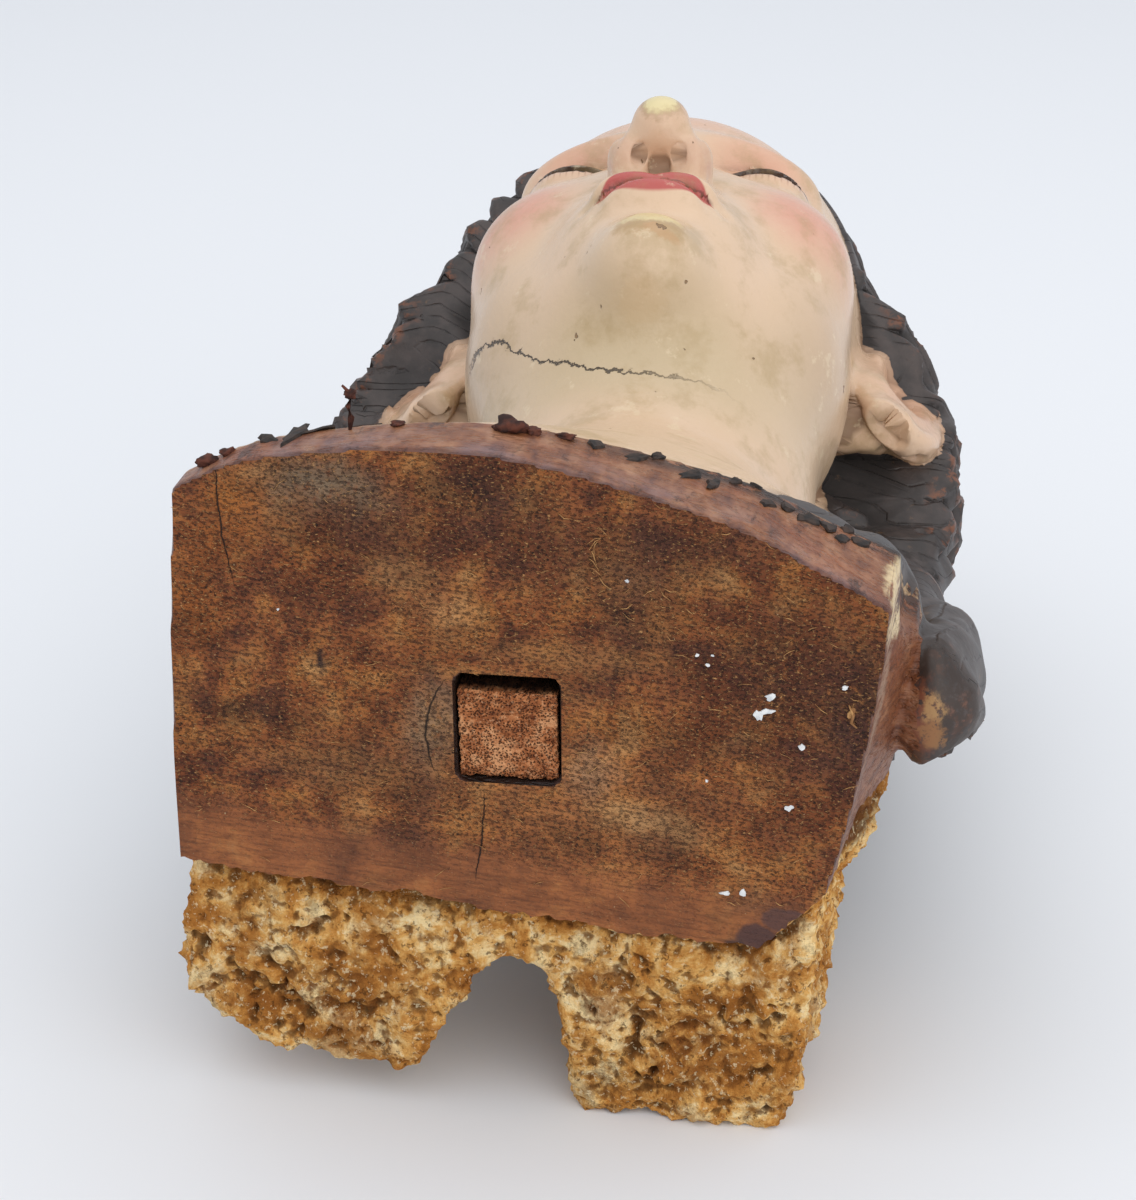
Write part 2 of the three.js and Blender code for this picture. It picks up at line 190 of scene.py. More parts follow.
# Sawn underside: stains and worn places, each as its middle and reach across and up from the
# peg in millimetres, its colour and its strength
STAINS = [
    ((8, -12), (60, 24), "#b07440", 0.5),
    ((-44, 48), (26, 11), "#7a6a54", 0.85),
    ((-10, 52), (22, 9), "#2c1a16", 0.85),
    ((-34, 39), (26, 8), "#4c2412", 0.8),
    ((-60, 42), (11, 18), "#a05e26", 0.75),
    ((-25, 31), (12, 9), "#9a6e44", 0.85),
    ((-13, 26), (9, 4), "#ba8754", 0.85),
    ((10, 20), (32, 6), "#a06c3c", 0.8),
    ((23, 36), (15, 16), "#7e5433", 0.7),
    ((56, 24), (32, 26), "#432013", 0.9),
    ((70, 14), (9, 28), "#2e1512", 0.85),
    ((-16, -1), (10, 16), "#8c7054", 0.85),
    ((19, -5), (8, 12), "#b08560", 0.85),
    ((31, -15), (20, 6), "#b58a5a", 0.8),
    ((-2, 12), (30, 3.5), "#b27a45", 0.75),
    ((28, 28), (5, 12), "#a8703c", 0.6),
    ((-38, 9.5), (3.6, 4.4), "#1d1518", 0.95),
    ((-54, -4), (22, 5), "#33190f", 0.85),
    ((-34, -14), (28, 8), "#94653a", 0.7),
    ((58, -30), (13, 5), "#38211d", 0.85),
    ((42, 6), (28, 8), "#58290f", 0.7),
    ((-69, 20), (7, 22), "#a05c27", 0.65),
    ((20, 33), (6, 3.4), "#24120c", 0.9),
    ((30, 48), (20, 6), "#3d2117", 0.75),
    ((8, 42), (44, 14), "#4c2a1c", 0.62),
]
# Where the skin of the underside curls off at its lower right corner
CORNER_CHIP = [
    ((63, -32.5), (6, 3.2), "#4f3735", 0.8),
    ((57.5, -38), (5, 4), "#46302f", 0.85),
    ((53, -43), (3.5, 4.5), "#3a2624", 0.8),
]
# Cracks in the underside: start and end from the peg, how far each bows, and its width
CRACKS = [
    ((-13.5, 11), (-13.5, -12), -3.4, 0.42),
    ((-3.4, -13), (-3.0, -36), 0.4, 0.3),
    ((-64.5, 52), (-58.5, 23), -1.2, 0.3),
]

# Pale gesso and raw wood on the sides, each as its middle and reach from the peg's axis
BARE_PATCHES = [
    ((74.5, 15, 37), (6.5, 18, 8), "#dcc59b", 0.95),
    ((76, 5, 22), (4, 7, 22), "#a88c78", 0.75),
    ((75, 24, -37), (12, 24, 13), "#c49a66", 0.85),
]

# Brown stains in the middle of the lobes, laid over the rot as those on the underside are
ROT_STAINS = [
    ((-31, -74), (24, 16), "#7f4a1f", 0.68),
    ((-55, -78), (16, 11), "#8a5324", 0.55),
    ((-50, -52), (9, 12), "#6b3d1a", 0.6),
    ((47, -69), (19, 17), "#78451e", 0.66),
    ((31, -86), (11, 12), "#6e451f", 0.6),
    ((26, -58), (6, 12), "#7d4a1f", 0.7),
]

# Tones of the flesh on either side of the face, painted shade under the chin and jaw, and the
# places where paint is gone, each with its middle and reach in the millimetres of a life-size head
FLESH_TONES_AND_JAW_SHADE = [
    ((0, 44, 70), (70, 44, 60), "#d99f86", 0.55),
    ((32, 8, 80), (30, 24, 34), "#d08c74", 0.55),
    ((42, -34, 58), (30, 28, 38), "#cf6660", 0.85),
    ((0, -32, 100), (17, 24, 26), "#c48468", 0.5),
    ((12, -44, 94), (8, 9, 12), "#a8503f", 0.45),
    # Painted shade: the next two darken the flesh to grey-olive under the chin and along the jaw
    ((0, -112, 44), (74, 34, 64), "#a9a078", 0.55),
    ((50, -84, 30), (30, 40, 50), "#a8a184", 0.35),
    ((86, -18, 6), (30, 40, 34), "#c98a6a", 0.55),
    # Painted shade: a darker tone at the back of the jaw
    ((56, -66, 24), (34, 50, 60), "#bd9c80", 0.45),
]
WORN_SPOTS = [
    ((0.5, -39, 113), (9.5, 10, 9), 5, "#8e6c44", 0.7),
    ((0.5, -40, 114), (7.5, 8, 7.5), 5, "#e4d5a2", 0.9),
    ((2, -98, 91), (17, 9, 12), 8, "#a8844f", 0.65),
    ((1, -96, 92), (13, 6, 10), 7, "#e0cd98", 0.85),
    ((5, -104, 88), (10, 3.5, 9), 6, "#c99468", 0.6),
]

# Where the paint is gone from the end of the right lock, in the frame of the carving
BARE_LOCK = [
    ((88, 34, 96), (20, 24, 26), "#33251d", 0.75),
    ((84.5, 19, 95), (5, 7, 13), "#7a4229", 0.9),
    ((87.5, 19, 98), (4.5, 6, 5), "#a88252", 0.9),
    ((87.5, 20, 91), (3, 6, 5), "#94683c", 0.8),
    ((96.5, 27, 105), (4, 6, 3), "#9a5f38", 0.9),
    ((93, 22, 84), (4, 5, 2.5), "#7d5334", 0.7),
]

# Crack round the throat, as across and along the bust in millimetres
THROAT_CRACK = [(-38, 150), (-31, 141), (-23, 133), (-11, 119), (3, 109), (15, 106.5), (40, 110)]

# White flecks of paint on the underside: x, z, width, height and turn
WHITE_FLECKS = [
    (53.8, 107.9, 2.6, 2.0, 0.1), (51.6, 103.6, 2.2, 3.4, 0.3), (53.4, 104.6, 4.6, 1.6, 0.2),
    (60.6, 97.1, 1.8, 1.6, 0.6), (58.5, 82.9, 2.2, 1.6, 0.2), (68.6, 111, 1.8, 1.2, 0.5),
    (46.0, 61.8, 3.0, 1.2, 0.1), (49.6, 62.2, 2.2, 1.8, 0.9), (41.5, 88.0, 0.9, 0.8, 0.0),
    (24.6, 131.6, 1.0, 0.9, 0.0), (38.9, 116.3, 1.1, 0.9, 0.4), (41.1, 114.2, 1.2, 0.9, 0.1),
    (42.0, 116.4, 0.9, 0.7, 0.0), (-47.0, 121.0, 0.7, 0.6, 0.0),
]
# Flakes of black paint on the front edge: x, how far short of the paint, width, depth, turn
BLACK_FLAKES = [
    (-45, 2.0, 13.0, 4.6, 0.05), (-40, 1.0, 9.0, 3.6, -0.1), (-50, 2.5, 6.0, 3.2, 0.2),
    (-31, 0.8, 6.5, 2.2, 0.0), (16, 4.0, 5.0, 3.2, -0.3), (24, 6.5, 6.0, 3.0, -0.4),
    (28, 3.0, 4.0, 2.4, -0.2), (35, 8.0, 6.5, 2.8, -0.5), (40, 8.5, 7.0, 2.6, -0.6),
    (44, 4.0, 3.6, 2.4, 0.0), (51, 9.0, 5.0, 2.6, -0.5), (55, 6.0, 5.5, 3.4, -0.5),
    (59, 7.0, 6.5, 3.6, -0.6), (63, 5.5, 6.0, 3.8, -0.5), (66, 8.5, 5.0, 3.0, -0.6),
    (67, 3.0, 4.0, 3.0, -0.3), (70, 6.0, 4.6, 3.4, -0.7), (48, 2.0, 3.0, 2.0, 0.3),
]
# Clumps of brown dirt on the front edge: x, depth, and size
CRUMBS = [
    (-1.1, 15.5, (6.5, 5.0, 3.6)), (3.2, 16.4, (3.6, 3.0, 1.6)), (-61.5, 6.0, (5.0, 4.0, 2.6)),
    (-58.0, 8.0, (3.0, 3.0, 1.8)), (9.5, 18.0, (4.4, 2.4, 1.2)), (-24, 14.0, (3.0, 3.0, 1.2)),
]
FLAKE_CORNERS = 11
# The crumb that stands up: its place across and along, and the bends of its stalk
TWIG_FOOT = (-33.5, 12)
TWIG_BENDS = [(0, 0, -1), (0.4, 0.2, 2.5), (-0.2, 0.3, 5), (0.8, 0, 7.4), (-1.2, 0, 9.4)]
# Fibres on the underside, and the splinter at its right edge
FIBRE_COUNT = 150
SPLINTER = [(69.6, -0.1, 107.2), (70.6, -0.5, 105.2), (70.2, -0.3, 103.4), (71.4, -0.1, 102.2)]

# Stage, in metres: the floor's ends in front and where it starts to sweep up, the radius of
# the sweep, and lights with their places, aims, sizes, watts and colours
FLOOR_ENDS = (-3.0, 1.6)
FLOOR_WIDTH = 6
SWEEP = 1.2
LIGHTS = (
    ("light above", (0.15, -0.15, 1.5), (0, 0, 0.1), 2.4, 9.5, "#ffffff"),
    ("light in front", (0.95, -1.4, 0.8), (0, -0.1, 0.1), 1.4, 7.5, "#fff6ec"),
)
ROOM_COLOUR, ROOM_LIGHT = "#eef1f6", 0.92
# Camera: what it looks at in the carving's millimetres, its turn to the right and rise, its
# distance in metres and its lens in millimetres
CAMERA_AIM = (12.75, 0, 126.73)
CAMERA_TURN = (math.radians(8), math.radians(24))
CAMERA_FAR = 0.5
CAMERA_LENS = 75.0

# Ways in which loose pieces are dropped onto the bust, and a height above all of it
INTO_WOOD, OUT_OF_WOOD, DOWN = (0, 1, 0), (0, -1, 0), (0, 0, -1)
ABOVE_ALL = 150
DROP = 0.08  # how far out they start, in metres


# Mesh helpers
def new_piece(name, mesh):
    piece = bpy.data.objects.new(name, mesh)
    bpy.context.scene.collection.objects.link(piece)
    return piece


def coordinates(mesh):
    """The mesh's points in millimetres, in the frame that the carving is worked in."""
    flat = np.empty(len(mesh.vertices) * 3)
    mesh.vertices.foreach_get("co", flat)
    return flat.reshape(-1, 3) / MM - ORIGIN


def move_to(mesh, points):
    mesh.vertices.foreach_set("co", ((points + ORIGIN) * MM).ravel())
    mesh.update()


def point_normals(mesh):
    flat = np.empty(len(mesh.vertices) * 3)
    mesh.vertex_normals.foreach_get("vector", flat)
    return flat.reshape(-1, 3)


def mesh_edges(mesh):
    flat = np.empty(len(mesh.edges) * 2, dtype=np.int32)
    mesh.edges.foreach_get("vertices", flat)
    return flat.reshape(-1, 2)


def smoothed(points, edges, rounds, weight=1.0):
    """Moves each point toward the mean of its neighbours, by its weight, so many times."""
    a, b = edges[:, 0], edges[:, 1]
    total = len(points)
    count = np.bincount(a, minlength=total) + np.bincount(b, minlength=total)
    count = np.maximum(count, 1)
    points = points.copy()
    share = np.broadcast_to(np.asarray(weight, dtype=float), (total,))
    for _ in range(rounds):
        for axis in range(points.shape[1]):
            line = points[:, axis]
            mean = np.bincount(a, line[b], total) + np.bincount(b, line[a], total)
            points[:, axis] = line + 0.5 * share * (mean / count - line)
    return points


def apply_modifiers(piece):
    graph = bpy.context.evaluated_depsgraph_get()
    made = bpy.data.meshes.new_from_object(piece.evaluated_get(graph))
    piece.modifiers.clear()
    old = piece.data
    piece.data = made
    bpy.data.meshes.remove(old)


def set_attribute(mesh, name, values):
    attribute = mesh.attributes.new(name, "FLOAT", "POINT")
    attribute.data.foreach_set("value", np.asarray(values, dtype=np.float32))


# Fields of distance: negative inside, positive outside
def smoothstep(low, high, value):
    t = np.clip((value - low) / (high - low), 0, 1)
    return t * t * (3 - 2 * t)


def hump(value, width):
    return np.exp(-(value / width) ** 2)


def ellipsoid(p, shape):
    """Distance to an ellipsoid, near enough, from its centre and half sizes."""
    at, half = np.array(shape[0], dtype=float), np.array(shape[1], dtype=float)
    q = (p - at) / half
    near = np.linalg.norm(q, axis=1)
    slope = np.linalg.norm(q / half, axis=1)
    return near * (near - 1) / np.maximum(slope, 1e-9)


def join(a, b, width):
    """Both bodies in one, blended over a width."""
    h = np.clip(0.5 + 0.5 * (b - a) / width, 0, 1)
    return b + (a - b) * h - width * h * (1 - h)


def carve(body, tool, width):
    """A body without what the tool takes, rounded over a width."""
    return -join(-body, tool, width)


def mirrored(p):
    """Points of both sides brought to the right one."""
    q = p.copy()
    q[:, 0] = np.abs(q[:, 0])
    return q


def nose_ridge(q):
    bridge, tip = np.array(NOSE_BRIDGE[0], float), np.array(NOSE_TIP[0], float)
    along = tip - bridge
    t = np.clip((q - bridge) @ along / (along @ along), 0, 1)
    radius = NOSE_BRIDGE[1] + (NOSE_TIP[1] - NOSE_BRIDGE[1]) * t
    return np.linalg.norm(q - bridge - t[:, None] * along, axis=1) - radius


def ear_frame(q):
    """Through the ear's plate, up it and forward along it."""
    outward, forward = q[:, 0] - EAR[0], q[:, 2] - EAR[2]
    c, s = math.cos(EAR_TURN), math.sin(EAR_TURN)
    return np.stack((outward * c + forward * s, q[:, 1] - EAR[1], forward * c - outward * s), 1)


def ear(q, fine):
    """A plate with a bowl in it, and where it is fine the rim, the inner fold and the lobe."""
    e = ear_frame(q)
    d = carve(ellipsoid(e, EAR_PLATE), ellipsoid(e, EAR_BOWL), EAR_BOWL[2])
    if not fine:
        return d
    through, up, ahead = e.T
    ring = np.hypot(up / 26, ahead / 17)
    rim = np.hypot((ring - 0.96) * 20, through - 3.8) - 3.4
    rim = np.maximum(rim, ahead - 10 - 0.4 * up)
    d = join(d, rim, 3.0)
    inner = np.hypot((np.hypot((up + 2) / 14, (ahead + 1) / 9) - 1) * 11, through - 2.6) - 2.2
    inner = np.maximum(np.maximum(inner, ahead - 2), -6 - up)
    d = join(d, inner, 3.0)
    d = join(d, ellipsoid(e, ((1, -6, 13), (3.4, 6, 3.4))), 4.5)
    return join(d, ellipsoid(e, ((2, -25, 5), (5.0, 8, 8))), 5)


def lid_opening(q):
    """Negative between the lids: an almond whose edges are two shallow arcs."""
    x, y = q[:, 0] - EYE[0], q[:, 1] - EYE[1]
    bow = 1 - (x / EYE_HALF) ** 2
    return np.maximum(y - UPPER_LID * bow, -LOWER_LID * bow - y)


def flesh_masses(q):
    d = ellipsoid(q, SKULL)
    for mass in FACE_MASSES:
        d = join(d, ellipsoid(q, mass), mass[2])
    return d


def fine_features(d, q, ball):
    """Cuts the lids and their folds, the nostrils, the lips and the hollow over the chin."""
    u, v, w = q.T
    front = smoothstep(50, 66, w)
    opening = np.maximum(lid_opening(q), EYE_RADIUS - 0.9 - ball)
    d = np.where(w > 58, carve(d, opening, 0.7), d)
    x = u - EYE[0]
    for rise, beyond, depth, width, reach in LID_FOLDS:
        fold = v - EYE[1] - rise * (1 - (x / 17) ** 2) - beyond
        d = d + front * depth * hump(fold, width) * smoothstep(reach, reach - 6, np.abs(x + 1))
    d = carve(d, ellipsoid(q, NOSTRIL), NOSTRIL[2])
    wing = np.hypot(u - 16, (v + 40) * 0.7) - 3.4
    d = d + 0.6 * hump(wing, 1.4) * front * smoothstep(-51, -47, v)
    d = d + 0.8 * hump(u, 2.4) * smoothstep(-50, -53, v) * smoothstep(-64, -61, v) * front
    mouth = v - MOUTH - 1.2 * (u / 20) ** 2
    d = d + 1.3 * hump(mouth, 1.2) * smoothstep(22, 15, u) * front
    corner = np.hypot(u - MOUTH_CORNER[0], v - MOUTH_CORNER[1])
    d = d + 0.7 * hump(corner, 2.4) * front
    return d + 0.9 * hump(v - OVER_CHIN, 3.6) * smoothstep(17, 5, u) * front


def flesh_field(p, fine):
    """Face, ears and throat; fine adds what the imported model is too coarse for."""
    q = mirrored(p)
    d = flesh_masses(q)
    d = carve(d, ellipsoid(q, EYE_SOCKET), EYE_SOCKET[2])
    ball = np.linalg.norm(q - EYE, axis=1)
    d = join(d, ball - EYE_RADIUS - LID, 3)
    d = join(d, nose_ridge(q), 9)
    for part in (NOSE_WING, UPPER_LIP, LOWER_LIP):
        d = join(d, ellipsoid(q, part), part[2])
    if fine:
        d = fine_features(d, q, ball)
    return join(d, ear(q, fine), EAR_PLATE[2] if not fine else 5)


def curl_phase(p):
    """How far a point lies across the rolls of hair, in rolls: beside the ear, and behind."""
    u = np.abs(p[:, 0] - HAIR_SHIFT)
    v, w = p[:, 1], p[:, 2]
    dv, dw = v - CURL_CENTRE[0], w - CURL_CENTRE[1]
    sway = CURL_SWAY * np.sin(CURL_COUNT * np.arctan2(dv, dw))
    drift = 4.2 * np.sin(u / 8.5 + v / 31 + 0.8) + 2.4 * np.sin(u / 4.6 + w / 19)
    drift = drift * smoothstep(0.1, 0.5, np.abs(dw) / np.maximum(np.hypot(dv, dw), 1))
    beside = (np.hypot(dv, dw) + sway + drift) / CURL_WIDTH
    width, wave, hang = BACK_CURL
    lean = 3.0 * np.sin(p[:, 0] / 23 + v / 29) + 0.3 * drift
    behind = (u + hang * np.sin(v / wave * 2 * math.pi) + lean) / width
    return beside, behind, smoothstep(4, 26, u), smoothstep(70, 105, -w)


def roll(across, depth):
    return depth * (np.abs(np.sin(math.pi * across)) ** 0.8 - 0.72)


def strands(across, count, depth):
    return depth * (np.abs(np.sin(count * math.pi * across)) - 0.64)


def hair_field(p, fine):
    """Hair in rolls, cut off along the hairline and round the ear."""
    q = p.copy()
    q[:, 0] = np.abs(p[:, 0] - HAIR_SHIFT)
    d = ellipsoid(q, HAIR_MASSES[0])
    for mass in HAIR_MASSES[1:]:
        d = join(d, ellipsoid(q, mass), mass[2])
    beside, behind, parting, back = curl_phase(p)
    if fine:
        scallop = roll(beside * 0.45 + 0.2, 2.6)
        side_height = roll(beside, 6.6) + strands(beside, 3, 0.8) + scallop
        back_height = roll(behind, 6.4) + strands(behind, 5, 0.9)
        d = d + 3.0 * hump(q[:, 0], 3.0) * (1 - back)
        swell = np.sin(p[:, 1] / 6.5 + 0.04 * p[:, 0] + 0.9) * np.sin(p[:, 2] / 8.5 + 0.5)
        d = d - 2.0 * swell * smoothstep(30, 60, q[:, 0])
    else:
        side_height, back_height = roll(beside, CURL_DEPTH), roll(behind, CURL_DEPTH)
    mixed = side_height * parting * (1 - back) + back_height * back
    d = d - mixed * (1 - 2.4 * back * (1 - back) * fine)
    start, slope, lowest, round_over = HAIRLINE
    line = np.maximum(start + slope * p[:, 1], lowest)
    front = (p[:, 2] - line) / math.hypot(1, slope)
    if fine:
        scalp = flesh_masses(mirrored(p)) - 1.6
        d = np.minimum(d, scalp + 0.5 * np.maximum(-50 - p[:, 1], 0))
    d = -join(-d, -front, round_over if not fine else 3)
    return carve(d, ellipsoid(mirrored(p), EAR_WINDOW), EAR_WINDOW[2])


def to_head(points):
    turn = np.array(HEAD_TURN.to_matrix())
    return (points - HEAD_CENTRE) @ turn / CARVED_SCALE


def from_head(p):
    turn = np.array(HEAD_TURN.to_matrix())
    return p * CARVED_SCALE @ turn.T + HEAD_CENTRE


def neck_field(points):
    """The neck as a slanted tube, in life-size millimetres."""
    x, y, z = points.T
    along = np.clip((y - 80) / (HEAD_CENTRE[1] - 80), 0, 1)
    cx = 15 + (HEAD_CENTRE[0] - 15) * along
    cz = 90 + (HEAD_CENTRE[2] - 16 - 90) * along
    radius, depth = NECK_RADIUS
    return (np.hypot((x - cx) / radius, (z - cz) / depth) - 1) * radius / CARVED_SCALE


def head_field(points, fine):
    p = to_head(points)
    flesh = flesh_field(p, fine)
    if fine:
        cut = smoothstep(210, 190, points[:, 1])
        width = 4 + 10 * smoothstep(112, 135, points[:, 2])
        neck = neck_field(points) + 30 * (1 - cut)
        flesh = np.where(cut > 0, join(flesh, neck, width), flesh)
    return flesh, hair_field(p, fine)


def pull_to_head(points, weight, rounds):
    """Moves points onto the surface of the finely carved head."""
    chosen = np.flatnonzero(weight > 0)
    share = weight[chosen, None]
    near = points[chosen]
    step = 0.15
    for _ in range(rounds):
        value = np.minimum(*head_field(near, True))
        slope = np.empty_like(near)
        for axis in range(3):
            ahead = near.copy()
            ahead[:, axis] += step
            slope[:, axis] = (np.minimum(*head_field(ahead, True)) - value) / step
        size = np.maximum((slope ** 2).sum(1), 0.2)
        move = -(value / size)[:, None] * slope
        length = np.linalg.norm(move, axis=1, keepdims=True)
        near = near + share * move * np.minimum(1, 1.5 / np.maximum(length, 1e-9))
    points = points.copy()
    points[chosen] = near
    return points


def block_frame(points):
    """Across the block and up it, turned as the block lies."""
    x, z = points[:, 0], points[:, 2] - PEG_HEIGHT
    c, s = math.cos(BLOCK_ROLL), math.sin(BLOCK_ROLL)
    return x * c - z * s, x * s + z * c


def band_edge(x):
    """How deep the bare band in front is, across the bust."""
    along = np.clip((x - BAND_SPAN[0]) / (BAND_SPAN[1] - BAND_SPAN[0]), 0, 1)
    return BAND_DEPTH[0] + (BAND_DEPTH[1] - BAND_DEPTH[0]) * along


def lock_frame(points, lock):
    """Distance from a lock's curve, how far along it, and the turn about it."""
    t = np.linspace(0, 1, 60)[:, None]
    a, b, c = (np.array(p, float) for p in lock)
    curve = a * (1 - t) * (1 - 2 * t) + b * 4 * t * (1 - t) + c * t * (2 * t - 1)
    best = np.full(len(points), 1e9)
    place = np.zeros(len(points))
    middle = np.zeros_like(points)
    for i, at in enumerate(curve):
        far = ((points - at) ** 2).sum(1)
        nearer = far < best
        best[nearer] = far[nearer]
        place[nearer] = t[i, 0]
        middle[nearer] = at
    away = points - middle
    return np.sqrt(best), place, np.arctan2(away[:, 2], away[:, 0])


def layered_noise(points, size, octaves=3, offset=0.0):
    shifted = points / size + offset
    return np.array([noise.fractal(Vector(p), 0.9, 2.0, octaves) for p in shifted])


def cells(points, size):
    """Distance to the nearest cell centre, in cells."""
    return np.array([noise.voronoi(Vector(p))[0][0] for p in points / size])


def merged_copy(node, name):
    """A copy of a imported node's mesh with its loose triangles merged."""
    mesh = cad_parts[node].data.copy()
    mesh.materials.clear()
    work = bmesh.new()
    work.from_mesh(mesh)
    bmesh.ops.remove_doubles(work, verts=work.verts, dist=0.01 * MM)
    work.to_mesh(mesh)
    work.free()
    return new_piece(name, mesh)


def remesh(piece, voxel):
    """Makes the mesh even and closed, with faces of one size in metres."""
    modifier = piece.modifiers.new("even mesh", "REMESH")
    modifier.mode = "VOXEL"
    modifier.voxel_size = voxel
    apply_modifiers(piece)


def refine_face(mesh):
    """Halves the mesh where the face and the ears need fine carving."""
    p = mirrored(to_head(coordinates(mesh)))
    face = (p[:, 2] > 34) & (p[:, 0] < 62) & (p[:, 1] > -122) & (p[:, 1] < 44)
    near_ear = np.linalg.norm((p - EAR) / (24, 38, 30), axis=1) < 1
    fine = face | near_ear
    work = bmesh.new()
    work.from_mesh(mesh)
    work.verts.ensure_lookup_table()
    chosen = [e for e in work.edges if fine[e.verts[0].index] and fine[e.verts[1].index]]
    bmesh.ops.subdivide_edges(work, edges=chosen, cuts=1, use_grid_fill=True)
    work.to_mesh(mesh)
    work.free()


def skin_foot(across):
    """Height in the block at which the brown skin of the wood ends and the rot begins."""
    return np.interp(across, [p[0] for p in SKIN_FOOT], [p[1] for p in SKIN_FOOT])


def lock_nearness(points):
    """Distance from the nearer of the two locks' curves."""
    far = np.full(len(points), 1e9)
    for lock in LOCKS:
        far = np.minimum(far, lock_frame(points, lock)[0])
    return far


def rotted(points, normals, share):
    """Eats the wood away: hollows, crumbling lumps, worm holes and raised fibres."""
    chosen = np.flatnonzero(share > 0.01)
    p = points[chosen]
    lumps = layered_noise(p, LUMP, 2)
    crumble = layered_noise(p, CRUMB, 5, 7.3)
    grit = layered_noise(p, GRIT, 3, 4.1)
    eaten = smoothstep(0.1, 0.5, layered_noise(p + 3 * crumble[:, None], HOLLOW, 3, 3.1))
    near = cells(p + 1.5 * grit[:, None], GALLERY)
    bored = smoothstep(0.1, 0.4, layered_noise(p, 14, 2, 11.7))
    galleries = smoothstep(0.26, 0.12, near) * bored
    fibre = layered_noise(p * (1, 0.12, 1), FIBRE, 3, 1.9)
    side = 1 - np.abs(normals[chosen, 1])
    ledges = np.abs(layered_noise(p * (1, 1, 1.6), LEDGE, 4, 15.2))
    across, up = block_frame(p)
    in_lobes = sum(np.exp(-((across - at[0]) / reach[0]) ** 2 - ((up - at[1]) / reach[1]) ** 2)
                   for at, reach in LOBES)
    sound = 0.6 * smoothstep(30, 12, p[:, 1]) * (1 - np.clip(1.2 * in_lobes, 0, 1))
    depth = ((1 - sound) * (1.9 * lumps + 1.5 * crumble - 2.6 * eaten - 2.2 * galleries
                            + 1.3 * (0.25 - ledges)) + 0.95 * grit + 0.9 * fibre * side)
    points = points.copy()
    points[chosen] += normals[chosen] * (share[chosen] * depth)[:, None]
    return points


def torn_edge(points, across, up):
    """Frays the foot of the brown skin and sinks the rot close under it."""
    ragged = layered_noise(points * (1, 0, 0), 7, 4, 1.7) + 0.5 * layered_noise(points, 2.2, 2)
    below = skin_foot(across) - up
    fray = hump(below, 3.0) * smoothstep(9, 3, points[:, 1])
    points = points.copy()
    points[:, 2] += 1.3 * fray * ragged
    sunk = smoothstep(0.8, 2.0, below) * smoothstep(9, 3, below) * smoothstep(12, 4, points[:, 1])
    points[:, 1] += 2.6 * sunk * (1 + 0.6 * ragged) * (points[:, 1] > 1.2)
    return points


def knife_cuts(points):
    """Flattens the end of the right lock to the planes that the knife left."""
    end = (points[:, 0] > 76) & (points[:, 1] < 52) & (points[:, 2] > 68)
    share = end * smoothstep(52, 42, points[:, 1]) * smoothstep(78, 82, points[:, 0])
    for at, facing in LOCK_CUTS:
        facing = np.array(facing) / np.linalg.norm(facing)
        proud = np.maximum((points - at) @ facing, 0) * share
        points = points - proud[:, None] * facing
    left = smoothstep(14, 20, points[:, 1]) * smoothstep(74, 66, points[:, 1])
    left = left * (points[:, 0] < -60) * (points[:, 2] > 60)
    edge, spread = LEFT_TRIM
    proud = np.maximum(edge - spread * points[:, 1] - points[:, 0], 0) * left
    return points + proud[:, None] * (1, 0, 0)


def rot_line(across, y):
    """Height in the block at which the rot begins: higher on the right wall than in front."""
    on_wall = smoothstep(62, 70, across) * smoothstep(5, 13, y)
    return skin_foot(across) + 15 * on_wall


def shoulder_hair(points):
    """Positive where hair lies on the shoulders and negative on the bare chest."""
    x, y, _ = points.T
    return np.maximum(x - 52 - 0.25 * (y - 40), -46 - x)


def shoulder_phase(points):
    """How far a point lies across the strands on the shoulders, in strands."""
    x, y, z = points.T
    width = SHOULDER_STRANDS[0]
    return (0.55 * x + 0.45 * z + 3.2 * np.sin(y / 9) + 1.4 * np.sin(x / 6)) / width


def carved_head(points, edges, carving):
    """Draws the surface onto the fine carving, and again round the ears, where it folds."""
    points = pull_to_head(points, carving, 4)
    points = smoothed(points, edges, 1, 0.6 * carving)
    points = pull_to_head(points, carving, 2)
    near_ear = ellipsoid(mirrored(to_head(points)), (EAR, (24, 40, 32))) < 0
    for _ in range(4):
        points = smoothed(points, edges, 5, 0.9 * near_ear * carving)
        points = pull_to_head(points, near_ear * carving, 3)
    return points


def evened_neck(points, edges, y, flesh, hair):
    """Smooths the open sides of the neck and the hair between the head and the locks."""
    open_neck = smoothstep(1, 4, hair) * smoothstep(70, 84, points[:, 2])
    nape = open_neck * smoothstep(84, 96, y) * smoothstep(128, 114, y)
    points = smoothed(points, edges, 60, nape)
    web = smoothstep(36, 30, lock_nearness(points)) * smoothstep(1.5, 3.5, flesh)
    web = web * smoothstep(92, 100, y) * smoothstep(158, 150, y) * smoothstep(64, 72, points[:, 2])
    return smoothed(points, edges, 25, web)


def fallen_strands(points, normals, share):
    """Raises the strands of hair that lie on the shoulders."""
    _, height, sunk = SHOULDER_STRANDS
    lift = height * (np.abs(np.sin(math.pi * shoulder_phase(points))) - sunk)
    return points + normals * (share * lift)[:, None]


